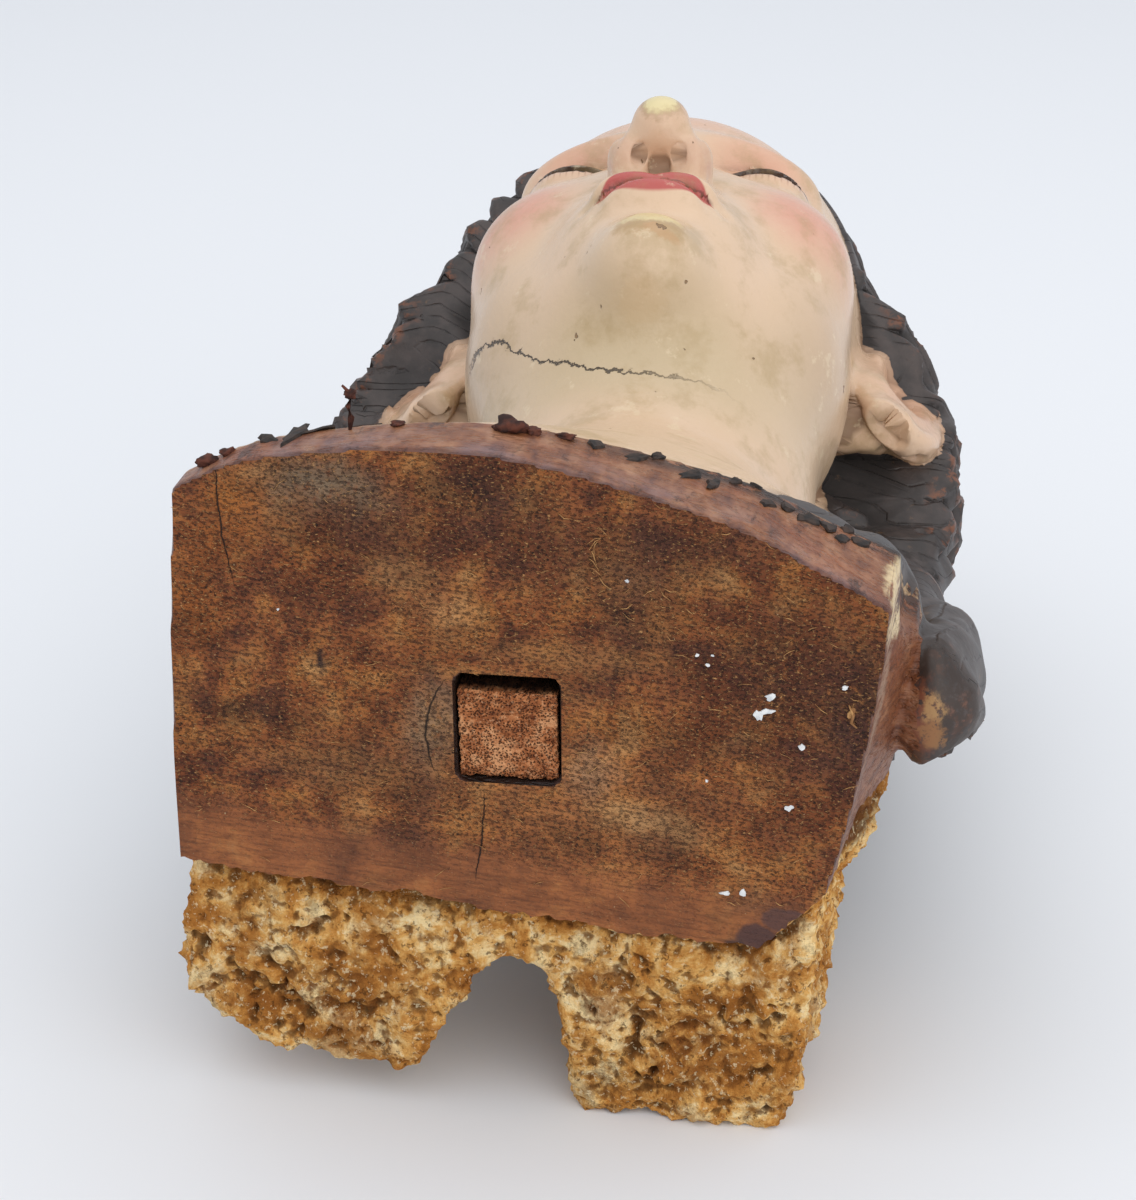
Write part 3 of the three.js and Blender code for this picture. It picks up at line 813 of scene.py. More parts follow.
def carved_bust(voxel, most_faces):
    """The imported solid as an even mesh, carved in stages and then thinned."""
    piece = merged_copy("bust", "carved_bust")
    remesh(piece, voxel * MM)
    mesh = piece.data
    refine_face(mesh)
    points, edges = coordinates(mesh), mesh_edges(mesh)
    x, y, _ = points.T
    flesh, hair = head_field(points, False)
    on_head = smoothstep(3.5, 1.5, np.abs(np.minimum(flesh, hair))) * smoothstep(60, 66, y)
    on_neck = smoothstep(3.0, 1.0, np.abs(neck_field(points))) * smoothstep(98, 110, y)
    carving = np.maximum(on_head, on_neck)
    off_head = 1 - carving
    across, up = block_frame(points)
    rot = rot_line(across, y) - up
    chest = smoothstep(2, 8, y - 1.14 * band_edge(x)) * off_head * smoothstep(-8, 0, -rot)
    points = smoothed(points, edges, 40, chest)
    eaten = smoothstep(-0.5, 1.5, rot) * off_head * smoothstep(1.0, 3.0, y)
    points = smoothed(points, edges, 8, eaten)

    points = carved_head(points, edges, carving)
    points = knife_cuts(evened_neck(points, edges, y, flesh, hair))
    move_to(mesh, points)
    fallen = off_head * smoothstep(0, 4, shoulder_hair(points)) * smoothstep(36, 46, y)
    fallen = fallen * smoothstep(2, 6, up - skin_foot(across))
    points = fallen_strands(points, point_normals(mesh), fallen)
    points[:, 1] = np.where(y < SAWN_FLAT, 0, points[:, 1])
    points = torn_edge(points, across, up)
    move_to(mesh, points)
    points = rotted(points, point_normals(mesh), eaten)
    points[:, 2] = np.maximum(points[:, 2], 0)
    move_to(mesh, points)

    mesh.calc_loop_triangles()
    thin = piece.modifiers.new("fewer faces", "DECIMATE")
    thin.ratio = min(1, most_faces / len(mesh.loop_triangles))
    apply_modifiers(piece)
    return piece


# Looks
def linear(colour):
    """Turns an sRGB hex colour into the linear values that Blender works in."""
    if not isinstance(colour, str):
        return tuple(colour)
    parts = [int(colour[i:i + 2], 16) / 255 for i in (1, 3, 5)]
    return [p / 12.92 if p <= 0.04045 else ((p + 0.055) / 1.055) ** 2.4 for p in parts] + [1.0]


def add(tree, kind, links=None, out=0, stops=None, **settings):
    """Adds a node: links gives an input another node's output or a value of its own. Inputs
    go by name, or by number where names repeat, as in Math, Mix and Map Range."""
    node = tree.nodes.new(kind)
    for name, value in settings.items():
        setattr(node, name, value)
    for name, value in (links or {}).items():
        if isinstance(value, bpy.types.NodeSocket):
            tree.links.new(value, node.inputs[name])
        elif isinstance(value, str):
            node.inputs[name].default_value = linear(value)
        else:
            node.inputs[name].default_value = value
    for i, (position, colour) in enumerate(stops or ()):
        elements = node.color_ramp.elements
        element = elements[i] if i < 2 else elements.new(position)
        element.position = position
        element.color = linear(colour)
    return node.outputs[out]


def start_material(name, roughness, ior=1.5, specular=0.5):
    material = bpy.data.materials.new(name)
    material.use_nodes = True
    tree = material.node_tree
    shader = tree.nodes["Principled BSDF"]
    shader.inputs["Roughness"].default_value = roughness
    shader.inputs["IOR"].default_value = ior
    shader.inputs["Specular IOR Level"].default_value = specular
    return material, tree, shader


def place_in_mm(tree, centre, turn=(0, 0, 0), scale=1.0):
    """The place of a point in millimetres from a centre of the carving, turned with its part."""
    where = add(tree, "ShaderNodeTexCoord", out="Object")
    size = (scale * MM,) * 3
    return add(tree, "ShaderNodeMapping",
               {"Vector": where, "Location": tuple((ORIGIN + centre) * MM), "Rotation": turn,
                "Scale": size}, vector_type="TEXTURE")


def octaves(size, wanted):
    """How many octaves of noise to draw: none finer than what shows, in millimetres."""
    return max(1.0, min(wanted, math.log2(size / FINEST)))


def patches(tree, place, size, low, high, detail=4, rough=0.55, stretch=(1, 1, 1)):
    """A mask of ragged patches about as wide as size, in millimetres."""
    drawn = add(tree, "ShaderNodeMapping", {"Vector": place, "Scale": stretch})
    cloud = add(tree, "ShaderNodeTexNoise",
                {"Vector": drawn, "Scale": 1 / size, "Detail": octaves(size, detail),
                 "Roughness": rough})
    return add(tree, "ShaderNodeMapRange", {0: cloud, 1: low, 2: high},
               interpolation_type="SMOOTHSTEP")


def spot(tree, place, centre, reach, soft=0.6):
    """A mask that is one at a centre and fades to nothing at its reach, in millimetres."""
    local = add(tree, "ShaderNodeMapping",
                {"Vector": place, "Location": centre, "Scale": reach}, vector_type="TEXTURE")
    far = add(tree, "ShaderNodeVectorMath", {0: local}, "Value", operation="LENGTH")
    return add(tree, "ShaderNodeMapRange", {0: far, 1: 1.0, 2: 1.0 - soft},
               interpolation_type="SMOOTHSTEP")


def laid_over(tree, under, colour, mask, strength=1.0):
    """Lays a colour over another where the mask is, as thick as its strength."""
    share = add(tree, "ShaderNodeMath", {0: mask, 1: strength}, operation="MULTIPLY",
                use_clamp=True)
    return add(tree, "ShaderNodeMix", {0: share, 6: under, 7: colour}, 2, data_type="RGBA")


def spotted(tree, place, colour, spots, soft, broken=None, depth=(0, 60)):
    """Lays stains over a colour, each a soft spot that a mask may break up. One that is given
    only across and up goes in along y as deep as depth says."""
    for centre, reach, stain, strength in spots:
        if len(centre) == 2:
            centre, reach = (centre[0], depth[0], centre[1]), (reach[0], depth[1], reach[1])
        mask = spot(tree, place, centre, reach, soft)
        if broken is not None:
            mask = add(tree, "ShaderNodeMath", {0: mask, 1: broken}, operation="MULTIPLY")
        colour = laid_over(tree, colour, stain, mask, strength)
    return colour


def weathered(tree, place, colour, layers):
    """Lays ragged patches over a colour in turn: their own colour, strength, size and shape."""
    for tint, strength, *shape in layers:
        colour = laid_over(tree, colour, tint, patches(tree, place, *shape), strength)
    return colour


def wobbled(tree, place, size, amount):
    """Shakes a place by ragged noise, so that what is drawn on it gets ragged edges."""
    shake = add(tree, "ShaderNodeTexNoise", {"Vector": place, "Scale": 1 / size,
                                             "Detail": octaves(size, 5), "Roughness": 0.65},
                "Color")
    centred = add(tree, "ShaderNodeVectorMath", {0: shake, 1: (0.5, 0.5, 0.5)},
                  operation="SUBTRACT")
    scaled = add(tree, "ShaderNodeVectorMath", {0: centred, "Scale": amount}, operation="SCALE")
    return add(tree, "ShaderNodeVectorMath", {0: place, 1: scaled}, operation="ADD")


def crack_line(tree, place, start, end, bend, width):
    """A mask along a crack in the plane of x and z, bowed between its ends and thin at both."""
    across, up = end[0] - start[0], end[1] - start[1]
    length = math.hypot(across, up)
    local = add(tree, "ShaderNodeMapping",
                {"Vector": wobbled(tree, place, 4.0, 1.6), "Location": (start[0], 0, start[1]),
                 "Rotation": (0, -math.atan2(up, across), 0), "Scale": (length, 1, 1)},
                vector_type="TEXTURE")
    x = add(tree, "ShaderNodeSeparateXYZ", {0: local})
    z = x.node.outputs[2]
    back = add(tree, "ShaderNodeMath", {0: 1.0, 1: x}, operation="SUBTRACT")
    bow = add(tree, "ShaderNodeMath", {0: x, 1: back}, operation="MULTIPLY", use_clamp=True)
    offset = add(tree, "ShaderNodeMath", {0: bow, 1: -4.0 * bend, 2: z}, operation="MULTIPLY_ADD")
    off = add(tree, "ShaderNodeMath", {0: offset}, operation="ABSOLUTE")
    open_to = add(tree, "ShaderNodeMath", {0: bow, 1: 4.0 * width}, operation="MULTIPLY")
    return add(tree, "ShaderNodeMapRange", {0: off, 1: open_to, 2: 0.0},
               interpolation_type="SMOOTHSTEP")


def rough_bump(tree, shader, height, depth):
    """Bump of a height between nought and one, depth millimetres deep."""
    bump = add(tree, "ShaderNodeBump", {"Height": height, "Distance": depth * MM})
    tree.links.new(bump, shader.inputs["Normal"])


def sawn_end_grain(colours):
    """Old sawn end grain, oiled dark by handling: matt, blotched, torn open where the saw
    lifted its fibres, and fine-pored."""
    material, tree, shader = start_material("aged sawn end grain", 0.6, 1.5, 0.28)
    place = place_in_mm(tree, (0, 0, PEG_HEIGHT), (0, BLOCK_ROLL, 0))
    ragged = wobbled(tree, wobbled(tree, place, 14, 16), 3.0, 5.0)
    cloud = add(tree, "ShaderNodeTexNoise", {"Vector": place, "Scale": 1 / 15, "Detail": 6.2,
                                             "Roughness": 0.66, "Distortion": 0.4})
    colour = add(tree, "ShaderNodeValToRGB", {0: cloud}, stops=[
        (0.34, colours.end_grain_dark), (0.68, colours.end_grain_light),
        (0.44, "#6f3a1c"), (0.51, "#8f5229"), (0.58, "#a26632")])
    broken = patches(tree, place, 2.2, 0.26, 0.5, 9, 0.72)
    colour = spotted(tree, ragged, colour, STAINS, 0.9, broken)
    smooth_foot = add(tree, "ShaderNodeSeparateXYZ", {0: wobbled(tree, place, 14, 12)}).node
    foot = add(tree, "ShaderNodeMapRange", {0: smooth_foot.outputs[2], 1: -23, 2: -33},
               interpolation_type="SMOOTHSTEP")
    colour = laid_over(tree, colour, "#9c5f36", foot, 0.6)
    colour = weathered(tree, place, colour, [
        ("#45251c", 0.58, 20, 0.46, 0.72, 9, 0.68, (0.5, 1, 1)),
        ("#613318", 0.36, 5, 0.44, 0.66, 8, 0.7, (0.45, 1, 1)),
        ("#371b10", 0.5, 0.9, 0.42, 0.72, 6, 0.7, (0.1, 1, 1))])
    open_grain = add(tree, "ShaderNodeMath", {0: foot, 1: -0.75, 2: 1.0},
                     operation="MULTIPLY_ADD")
    torn = patches(tree, place, 12, 0.36, 0.6, 6, 0.65)
    torn = add(tree, "ShaderNodeMath", {0: torn, 1: 0.7, 2: 0.3}, operation="MULTIPLY_ADD")
    torn = add(tree, "ShaderNodeMath", {0: torn, 1: open_grain}, operation="MULTIPLY")
    dark = patches(tree, place, 0.75, 0.48, 0.68, 8, 0.72, (0.6, 1, 1))
    dark = add(tree, "ShaderNodeMath", {0: dark, 1: open_grain}, operation="MULTIPLY")
    colour = laid_over(tree, colour, "#2a130a", dark, 0.6)
    lifted = patches(tree, place, 0.6, 0.54, 0.7, 6, 0.7, (0.6, 1, 1.1))
    fibres = add(tree, "ShaderNodeMath", {0: lifted, 1: torn}, operation="MULTIPLY")
    colour = laid_over(tree, colour, "#cf9a62", fibres, 0.75)
    pore_cells = add(tree, "ShaderNodeTexVoronoi", {"Vector": wobbled(tree, place, 1.0, 0.6),
                                                    "Scale": 0.95})
    pore = add(tree, "ShaderNodeMapRange", {0: pore_cells, 1: 0.3, 2: 0.16})
    some = patches(tree, place, 5, 0.46, 0.6, 4)
    pore = add(tree, "ShaderNodeMath", {0: pore, 1: some}, operation="MULTIPLY")
    pores = add(tree, "ShaderNodeMath", {0: pore, 1: torn}, operation="MULTIPLY")
    colour = laid_over(tree, colour, "#180c08", pores, 0.8)
    dust = patches(tree, place, 0.7, 0.7, 0.76, 3, 0.6)
    colour = laid_over(tree, colour, "#cbb48c", dust, 0.6)
    colour = spotted(tree, wobbled(tree, place, 3, 2), colour, CORNER_CHIP, 0.25)
    cracks = [crack_line(tree, place, *crack) for crack in CRACKS]
    for crack in cracks:
        colour = laid_over(tree, colour, "#0e0705", crack, 0.95)
    height = fibres
    for sunk in (dark, pores, *cracks):
        height = add(tree, "ShaderNodeMath", {0: height, 1: sunk}, operation="SUBTRACT")
    tree.links.new(colour, shader.inputs["Base Color"])
    polish = add(tree, "ShaderNodeMapRange", {0: torn, 3: 0.46, 4: 0.8})
    tree.links.new(polish, shader.inputs["Roughness"])
    rough_bump(tree, shader, height, 0.5)
    return material


def bare_side_wood(colours):
    """Sides of the block where the paint is gone: planed wood, dark from age and handling, with a
    painted purple-grey sheen by the front edge, black remains of paint and pale gesso where
    the paint broke off."""
    material, tree, shader = start_material("aged planed side grain", 0.45, 1.5, 0.35)
    place = place_in_mm(tree, (0, 0, PEG_HEIGHT), (0, BLOCK_ROLL, 0))
    grain = add(tree, "ShaderNodeTexNoise",
                {"Vector": add(tree, "ShaderNodeMapping",
                               {"Vector": place, "Scale": (0.25, 0.12, 0.4)}),
                 "Scale": 1.0, "Detail": 6, "Roughness": 0.55})
    colour = add(tree, "ShaderNodeValToRGB", {0: grain}, stops=[
        (0.3, "#5c3526"), (0.7, "#a87a5a"), (0.5, colours.side_wood)])
    along = add(tree, "ShaderNodeSeparateXYZ", {0: wobbled(tree, place, 10, 6)}).node
    # Painted sheen: purple-grey that fades back from the front edge, broken into patches and weaker
    # toward the right wall
    painted_sheen = add(tree, "ShaderNodeMapRange", {0: along.outputs[1], 1: 15, 2: 0},
                interpolation_type="SMOOTHSTEP")
    sheen_patches = patches(tree, place, 12, 0.34, 0.62, 7, 0.65)
    painted_sheen = add(tree, "ShaderNodeMath", {0: painted_sheen, 1: sheen_patches}, operation="MULTIPLY")
    on_wall = add(tree, "ShaderNodeMapRange", {0: along.outputs[0], 1: 60, 2: 72, 3: 1, 4: 0.3})
    painted_sheen = add(tree, "ShaderNodeMath", {0: painted_sheen, 1: on_wall}, operation="MULTIPLY")
    colour = laid_over(tree, colour, "#82696a", painted_sheen, 0.75)
    red = patches(tree, place, 16, 0.5, 0.66, 6, 0.6)
    colour = laid_over(tree, colour, "#8f4f2d", red, 0.55)
    wall = add(tree, "ShaderNodeMapRange", {0: along.outputs[0], 1: 60, 2: 72})
    colour = laid_over(tree, colour, "#6a3a22", wall, 0.5)
    dark = patches(tree, place, 8, 0.54, 0.64, 8, 0.72, (1, 0.35, 1))
    colour = laid_over(tree, colour, "#2a1815", dark, 0.7)
    line = patches(tree, place, 1.1, 0.46, 0.7, 7, 0.72, (0.2, 0.6, 1))
    colour = laid_over(tree, colour, "#3a2019", line, 0.16)
    rubbed = patches(tree, place, 5.0, 0.5, 0.7, 8, 0.72, (0.35, 1, 1))
    colour = laid_over(tree, colour, "#bd8a68", rubbed, 0.35)
    edge_line = add(tree, "ShaderNodeMapRange", {0: along.outputs[1], 1: 1.6, 2: 0.2})
    colour = laid_over(tree, colour, "#3a2224", edge_line, 0.55)

    paint = add(tree, "ShaderNodeAttribute", out="Fac", attribute_name="paint")
    front = add(tree, "ShaderNodeMapRange", {0: along.outputs[0], 1: -5, 2: 30})
    high = add(tree, "ShaderNodeMapRange", {0: along.outputs[2], 1: 16, 2: 30})
    front = add(tree, "ShaderNodeMath", {0: front, 1: high}, operation="MULTIPLY")
    close = add(tree, "ShaderNodeMapRange", {0: paint, 1: -11, 2: -4},
                interpolation_type="SMOOTHSTEP")
    black = patches(tree, place, 6, 0.42, 0.5, 8, 0.75, (0.5, 1, 1))
    black = add(tree, "ShaderNodeMath", {0: black, 1: close}, operation="MULTIPLY")
    black = add(tree, "ShaderNodeMath", {0: black, 1: front}, operation="MULTIPLY")
    colour = laid_over(tree, colour, "#1d1715", black, 0.92)
    rim = add(tree, "ShaderNodeMapRange", {0: paint, 1: -2.6, 2: -1.4})
    rim = add(tree, "ShaderNodeMath", {0: rim, 1: high}, operation="MULTIPLY")
    pale = patches(tree, place, 3, 0.4, 0.56, 6, 0.7)
    rim = add(tree, "ShaderNodeMath", {0: rim, 1: pale}, operation="MULTIPLY")
    colour = laid_over(tree, colour, "#c9a67c", rim, 0.8)
    split = patches(tree, place, 1.6, 0.36, 0.52, 5, 0.7, (1, 0.12, 1))
    colour = spotted(tree, wobbled(tree, place, 3.5, 4.5), colour, BARE_PATCHES, 0.3, split)
    # Painted shade: near-black on the walls inside the mortise round the peg
    mortise = spot(tree, place, (0, 15, 1), (18, 40, 18), 0.1)
    colour = laid_over(tree, colour, "#130b07", mortise, 0.93)
    tree.links.new(colour, shader.inputs["Base Color"])
    height = add(tree, "ShaderNodeMath", {0: grain, 1: line}, operation="SUBTRACT")
    height = add(tree, "ShaderNodeMath", {0: black, 1: 1.4, 2: height},
                 operation="MULTIPLY_ADD")
    rough_bump(tree, shader, height, 0.4)
    return material


def rotten_wood(colours):
    """Wood eaten soft and pale: dusty, dry, stained brown in its hollows, without any shine, and
    painted with near-black shade in the deepest hollows.
    """
    material, tree, shader = start_material("worm-eaten rotten wood", 0.92, 1.4, 0.15)
    place = place_in_mm(tree, (0, 0, PEG_HEIGHT), (0, BLOCK_ROLL, 0))
    cloud = add(tree, "ShaderNodeTexNoise", {"Vector": place, "Scale": 1 / 9, "Detail": 5.5,
                                             "Roughness": 0.68, "Distortion": 0.4})
    colour = add(tree, "ShaderNodeValToRGB", {0: cloud}, stops=[
        (0.35, "#96602a"), (0.62, colours.rot_light), (0.44, "#bf833f"), (0.52, "#dba962")])
    hollow = add(tree, "ShaderNodeAttribute", out="Fac", attribute_name="hollow")
    shake = add(tree, "ShaderNodeTexNoise", {"Vector": place, "Scale": 0.7, "Detail": 2.8})
    deep = add(tree, "ShaderNodeMath", {0: shake, 1: 0.9, 2: hollow}, operation="MULTIPLY_ADD")
    stained = add(tree, "ShaderNodeMapRange", {0: deep, 1: 0.42, 2: 0.8},
                  interpolation_type="SMOOTHSTEP")
    colour = laid_over(tree, colour, colours.rot_dark, stained, 0.75)
    # Painted shade: near-black where the hollows are deepest
    painted_deep_shade = add(tree, "ShaderNodeMapRange", {0: deep, 1: 0.75, 2: 1.35},
                  interpolation_type="SMOOTHSTEP")
    colour = laid_over(tree, colour, "#2a170c", painted_deep_shade, 0.65)
    colour = weathered(tree, place, colour, [("#9a6029", 0.62, 16, 0.48, 0.6, 9, 0.74)])
    ragged = wobbled(tree, wobbled(tree, place, 14, 16), 3.0, 5.0)
    broken = patches(tree, place, 3.5, 0.38, 0.58, 9, 0.78)
    colour = spotted(tree, ragged, colour, ROT_STAINS, 0.8, broken, (2, 40))
    colour = weathered(tree, place, colour, [("#4a2c17", 0.4, 9, 0.58, 0.66, 9, 0.75)])
    eroded = spot(tree, wobbled(tree, place, 5, 6), (74, 18, -15), (9, 26, 8), 0.6)
    colour = laid_over(tree, colour, "#54331f", eroded, 0.8)
    colour = weathered(tree, place, colour, [
        ("#452a15", 0.65, 2.0, 0.57, 0.65, 8, 0.75),
        ("#eedcb4", 0.55, 1.5, 0.57, 0.66, 5, 0.7)])
    tree.links.new(colour, shader.inputs["Base Color"])
    fibre = add(tree, "ShaderNodeTexNoise",
                {"Vector": add(tree, "ShaderNodeMapping",
                               {"Vector": place, "Scale": (1, 0.3, 1)}),
                 "Scale": 1.1, "Detail": 2.5, "Roughness": 0.75})
    rough_bump(tree, shader, fibre, 1.0)
    return material


def lash_lines(tree, flesh, u, v, front, paint):
    """The dark line along the upper lid, and the fine comb of lashes under the lower one."""
    x = add(tree, "ShaderNodeMath", {0: u, 1: EYE[0]}, operation="SUBTRACT")
    y = add(tree, "ShaderNodeMath", {0: v, 1: EYE[1]}, operation="SUBTRACT")
    share = add(tree, "ShaderNodeMath", {0: x, 1: 1 / EYE_HALF}, operation="MULTIPLY")
    square = add(tree, "ShaderNodeMath", {0: share, 1: share}, operation="MULTIPLY")
    bow = add(tree, "ShaderNodeMath", {0: 1.0, 1: square}, operation="SUBTRACT")
    above = add(tree, "ShaderNodeMath", {0: bow, 1: -UPPER_LID, 2: y}, operation="MULTIPLY_ADD")
    thick = add(tree, "ShaderNodeMath", {0: bow, 1: 1.5, 2: 0.9}, operation="MULTIPLY_ADD")
    over = add(tree, "ShaderNodeMath", {0: thick, 1: above}, operation="SUBTRACT")
    lash = add(tree, "ShaderNodeMapRange", {0: over, 1: -0.15, 2: 0.25})
    lid_edge = add(tree, "ShaderNodeMapRange", {0: above, 1: -0.9, 2: -0.5})
    ends = add(tree, "ShaderNodeMapRange", {0: bow, 1: -0.34, 2: -0.2})
    for limit in (lid_edge, ends, front):
        lash = add(tree, "ShaderNodeMath", {0: lash, 1: limit}, operation="MULTIPLY")
    flesh = laid_over(tree, flesh, paint, lash, 0.92)

    low = add(tree, "ShaderNodeMath", {0: bow, 1: LOWER_LID, 2: y}, operation="MULTIPLY_ADD")
    comb = add(tree, "ShaderNodeMath", {0: x, 1: 2.9}, operation="MULTIPLY")
    comb = add(tree, "ShaderNodeMath", {0: comb}, operation="SINE")
    comb = add(tree, "ShaderNodeMapRange", {0: comb, 1: 0.45, 2: 0.8})
    reach = add(tree, "ShaderNodeMapRange", {0: low, 1: -4.2, 2: -0.6, 3: 0.0, 4: 1.0})
    comb = add(tree, "ShaderNodeMath", {0: comb, 1: reach}, operation="MULTIPLY")
    line = add(tree, "ShaderNodeMapRange", {0: low, 1: -1.2, 2: -0.6})
    comb = add(tree, "ShaderNodeMath", {0: comb, 1: line}, operation="MAXIMUM")
    under = add(tree, "ShaderNodeMapRange", {0: low, 1: 0.1, 2: -0.4})
    within = add(tree, "ShaderNodeMapRange", {0: bow, 1: 0.0, 2: 0.15})
    for limit in (under, within, front):
        comb = add(tree, "ShaderNodeMath", {0: comb, 1: limit}, operation="MULTIPLY")
    return laid_over(tree, flesh, "#8a5238", comb, 0.5)


def painted_lips(tree, flesh, head, u, v, front, paint):
    """Worn paint on the lips, with a darker line where they meet."""
    side = add(tree, "ShaderNodeMath", {0: u, 1: 1 / 19.5}, operation="MULTIPLY")
    side = add(tree, "ShaderNodeMath", {0: side, 1: side}, operation="MULTIPLY")
    full = add(tree, "ShaderNodeMath", {0: 1.0, 1: side}, operation="SUBTRACT")
    from_mouth = add(tree, "ShaderNodeMath", {0: v, 1: -MOUTH}, operation="ADD")
    dip = add(tree, "ShaderNodeMapRange", {0: u, 1: 5.5, 2: 0.0, 3: 0.0, 4: 2.2},
              interpolation_type="SMOOTHSTEP")
    top = add(tree, "ShaderNodeMath", {0: full, 1: 7.4}, operation="MULTIPLY")
    for less in (dip, from_mouth):
        top = add(tree, "ShaderNodeMath", {0: top, 1: less}, operation="SUBTRACT")
    foot = add(tree, "ShaderNodeMath", {0: full, 1: 8.2, 2: from_mouth},
               operation="MULTIPLY_ADD")
    inside = add(tree, "ShaderNodeMath", {0: top, 1: foot}, operation="MINIMUM")
    lips = add(tree, "ShaderNodeMapRange", {0: inside, 1: -0.3, 2: 0.6},
               interpolation_type="SMOOTHSTEP")
    for limit in (front, patches(tree, head, 9, 0.2, 0.42, 8, 0.7)):
        lips = add(tree, "ShaderNodeMath", {0: lips, 1: limit}, operation="MULTIPLY")
    flesh = laid_over(tree, flesh, paint, lips, 0.85)
    curve = add(tree, "ShaderNodeMath", {0: side, 1: -1.3, 2: from_mouth},
                operation="MULTIPLY_ADD")
    curve = add(tree, "ShaderNodeMath", {0: curve}, operation="ABSOLUTE")
    mouth = add(tree, "ShaderNodeMapRange", {0: curve, 1: 0.75, 2: 0.3})
    wide = add(tree, "ShaderNodeMapRange", {0: full, 1: 0.02, 2: 0.2})
    for limit in (wide, front):
        mouth = add(tree, "ShaderNodeMath", {0: mouth, 1: limit}, operation="MULTIPLY")
    return laid_over(tree, flesh, "#5a1618", mouth, 0.7)


def painted_brows(tree, flesh, u, v, front, paint):
    """Thin arched brows that taper at both ends."""
    middle, half, height, arc = BROW
    along = add(tree, "ShaderNodeMath", {0: u, 1: middle}, operation="SUBTRACT")
    along = add(tree, "ShaderNodeMath", {0: along, 1: 1 / half}, operation="MULTIPLY")
    along = add(tree, "ShaderNodeMath", {0: along, 1: along}, operation="MULTIPLY")
    arch = add(tree, "ShaderNodeMath", {0: 1.0, 1: along}, operation="SUBTRACT")
    rise = add(tree, "ShaderNodeMath", {0: arch, 1: -arc, 2: v}, operation="MULTIPLY_ADD")
    rise = add(tree, "ShaderNodeMath", {0: rise, 1: height}, operation="SUBTRACT")
    rise = add(tree, "ShaderNodeMath", {0: rise}, operation="ABSOLUTE")
    width = add(tree, "ShaderNodeMath", {0: arch, 1: 1.5, 2: 0.4}, operation="MULTIPLY_ADD")
    brow = add(tree, "ShaderNodeMath", {0: width, 1: rise}, operation="SUBTRACT")
    brow = add(tree, "ShaderNodeMapRange", {0: brow, 1: -0.3, 2: 0.4})
    ends = add(tree, "ShaderNodeMapRange", {0: arch, 1: 0.0, 2: 0.1})
    for limit in (ends, front):
        brow = add(tree, "ShaderNodeMath", {0: brow, 1: limit}, operation="MULTIPLY")
    return laid_over(tree, flesh, paint, brow, 0.7)


def hair_strands(tree, place):
    """A mask of the fine grooves between strands, which run along the rolls of hair."""
    grooves = []
    for name, count in (("beside", 3), ("behind", 5)):
        phase = add(tree, "ShaderNodeAttribute", out="Fac", attribute_name=name)
        turn = add(tree, "ShaderNodeMath", {0: phase, 1: count * math.pi}, operation="MULTIPLY")
        wave = add(tree, "ShaderNodeMath", {0: turn}, operation="SINE")
        wave = add(tree, "ShaderNodeMath", {0: wave}, operation="ABSOLUTE")
        grooves.append(add(tree, "ShaderNodeMapRange", {0: wave, 1: 0.3, 2: 0.0},
                           interpolation_type="SMOOTHSTEP"))
    back = add(tree, "ShaderNodeAttribute", out="Fac", attribute_name="back")
    groove = add(tree, "ShaderNodeMix", {0: back, 2: grooves[0], 3: grooves[1]})
    worn = patches(tree, place, 8, 0.34, 0.62, 4)
    return add(tree, "ShaderNodeMath", {0: groove, 1: worn}, operation="MULTIPLY")


def painted_flesh(tree, head, place, hollow, colours):
    """The colour of the flesh, with painted shade under the jaw, and masks of its grime and of its
    chips.
    """
    side = add(tree, "ShaderNodeVectorMath", {0: head}, operation="ABSOLUTE")
    u = add(tree, "ShaderNodeSeparateXYZ", {0: side})
    v = add(tree, "ShaderNodeSeparateXYZ", {0: head}).node.outputs[1]
    w = v.node.outputs[2]
    even = add(tree, "ShaderNodeCombineXYZ", {0: u, 1: v, 2: w})
    mottled = add(tree, "ShaderNodeTexNoise", {"Vector": place, "Scale": 1 / 14, "Detail": 5})
    flesh = add(tree, "ShaderNodeMix", {0: mottled, 6: colours.flesh, 7: "#ddc0a4"}, 2,
                data_type="RGBA")
    # Tones of the flesh, and painted shade under the jaw, laid as soft ragged spots
    flesh = spotted(tree, wobbled(tree, even, 14, 10), flesh, FLESH_TONES_AND_JAW_SHADE, 0.95)
    front = add(tree, "ShaderNodeMapRange", {0: w, 1: 52, 2: 60})
    flesh = lash_lines(tree, flesh, u, v, front, colours.lashes)
    flesh = painted_lips(tree, flesh, head, u, v, front, colours.lips)
    flesh = painted_brows(tree, flesh, u, v, front, colours.lashes)
    for centre, reach, ragged_size, tone, strength in WORN_SPOTS:
        shaken = wobbled(tree, wobbled(tree, head, 2 * ragged_size, 2.4 * ragged_size), 2.0, 3.0)
        flesh = laid_over(tree, flesh, tone, spot(tree, shaken, centre, reach, 0.45), strength)
    grime = add(tree, "ShaderNodeMapRange", {0: hollow, 1: 0.2, 2: 1.1},
                interpolation_type="SMOOTHSTEP")
    flesh = laid_over(tree, flesh, "#6b4a30", grime, 0.7)
    flesh = weathered(tree, place, flesh, [
        ("#a88f62", 0.45, 16, 0.48, 0.68, 8, 0.66),
        ("#e2cfae", 0.4, 9, 0.6, 0.68, 8, 0.7)])
    chips = patches(tree, place, 5.0, 0.735, 0.76, 3, 0.5)
    return laid_over(tree, flesh, "#7a5a36", chips, 0.8), grime, chips


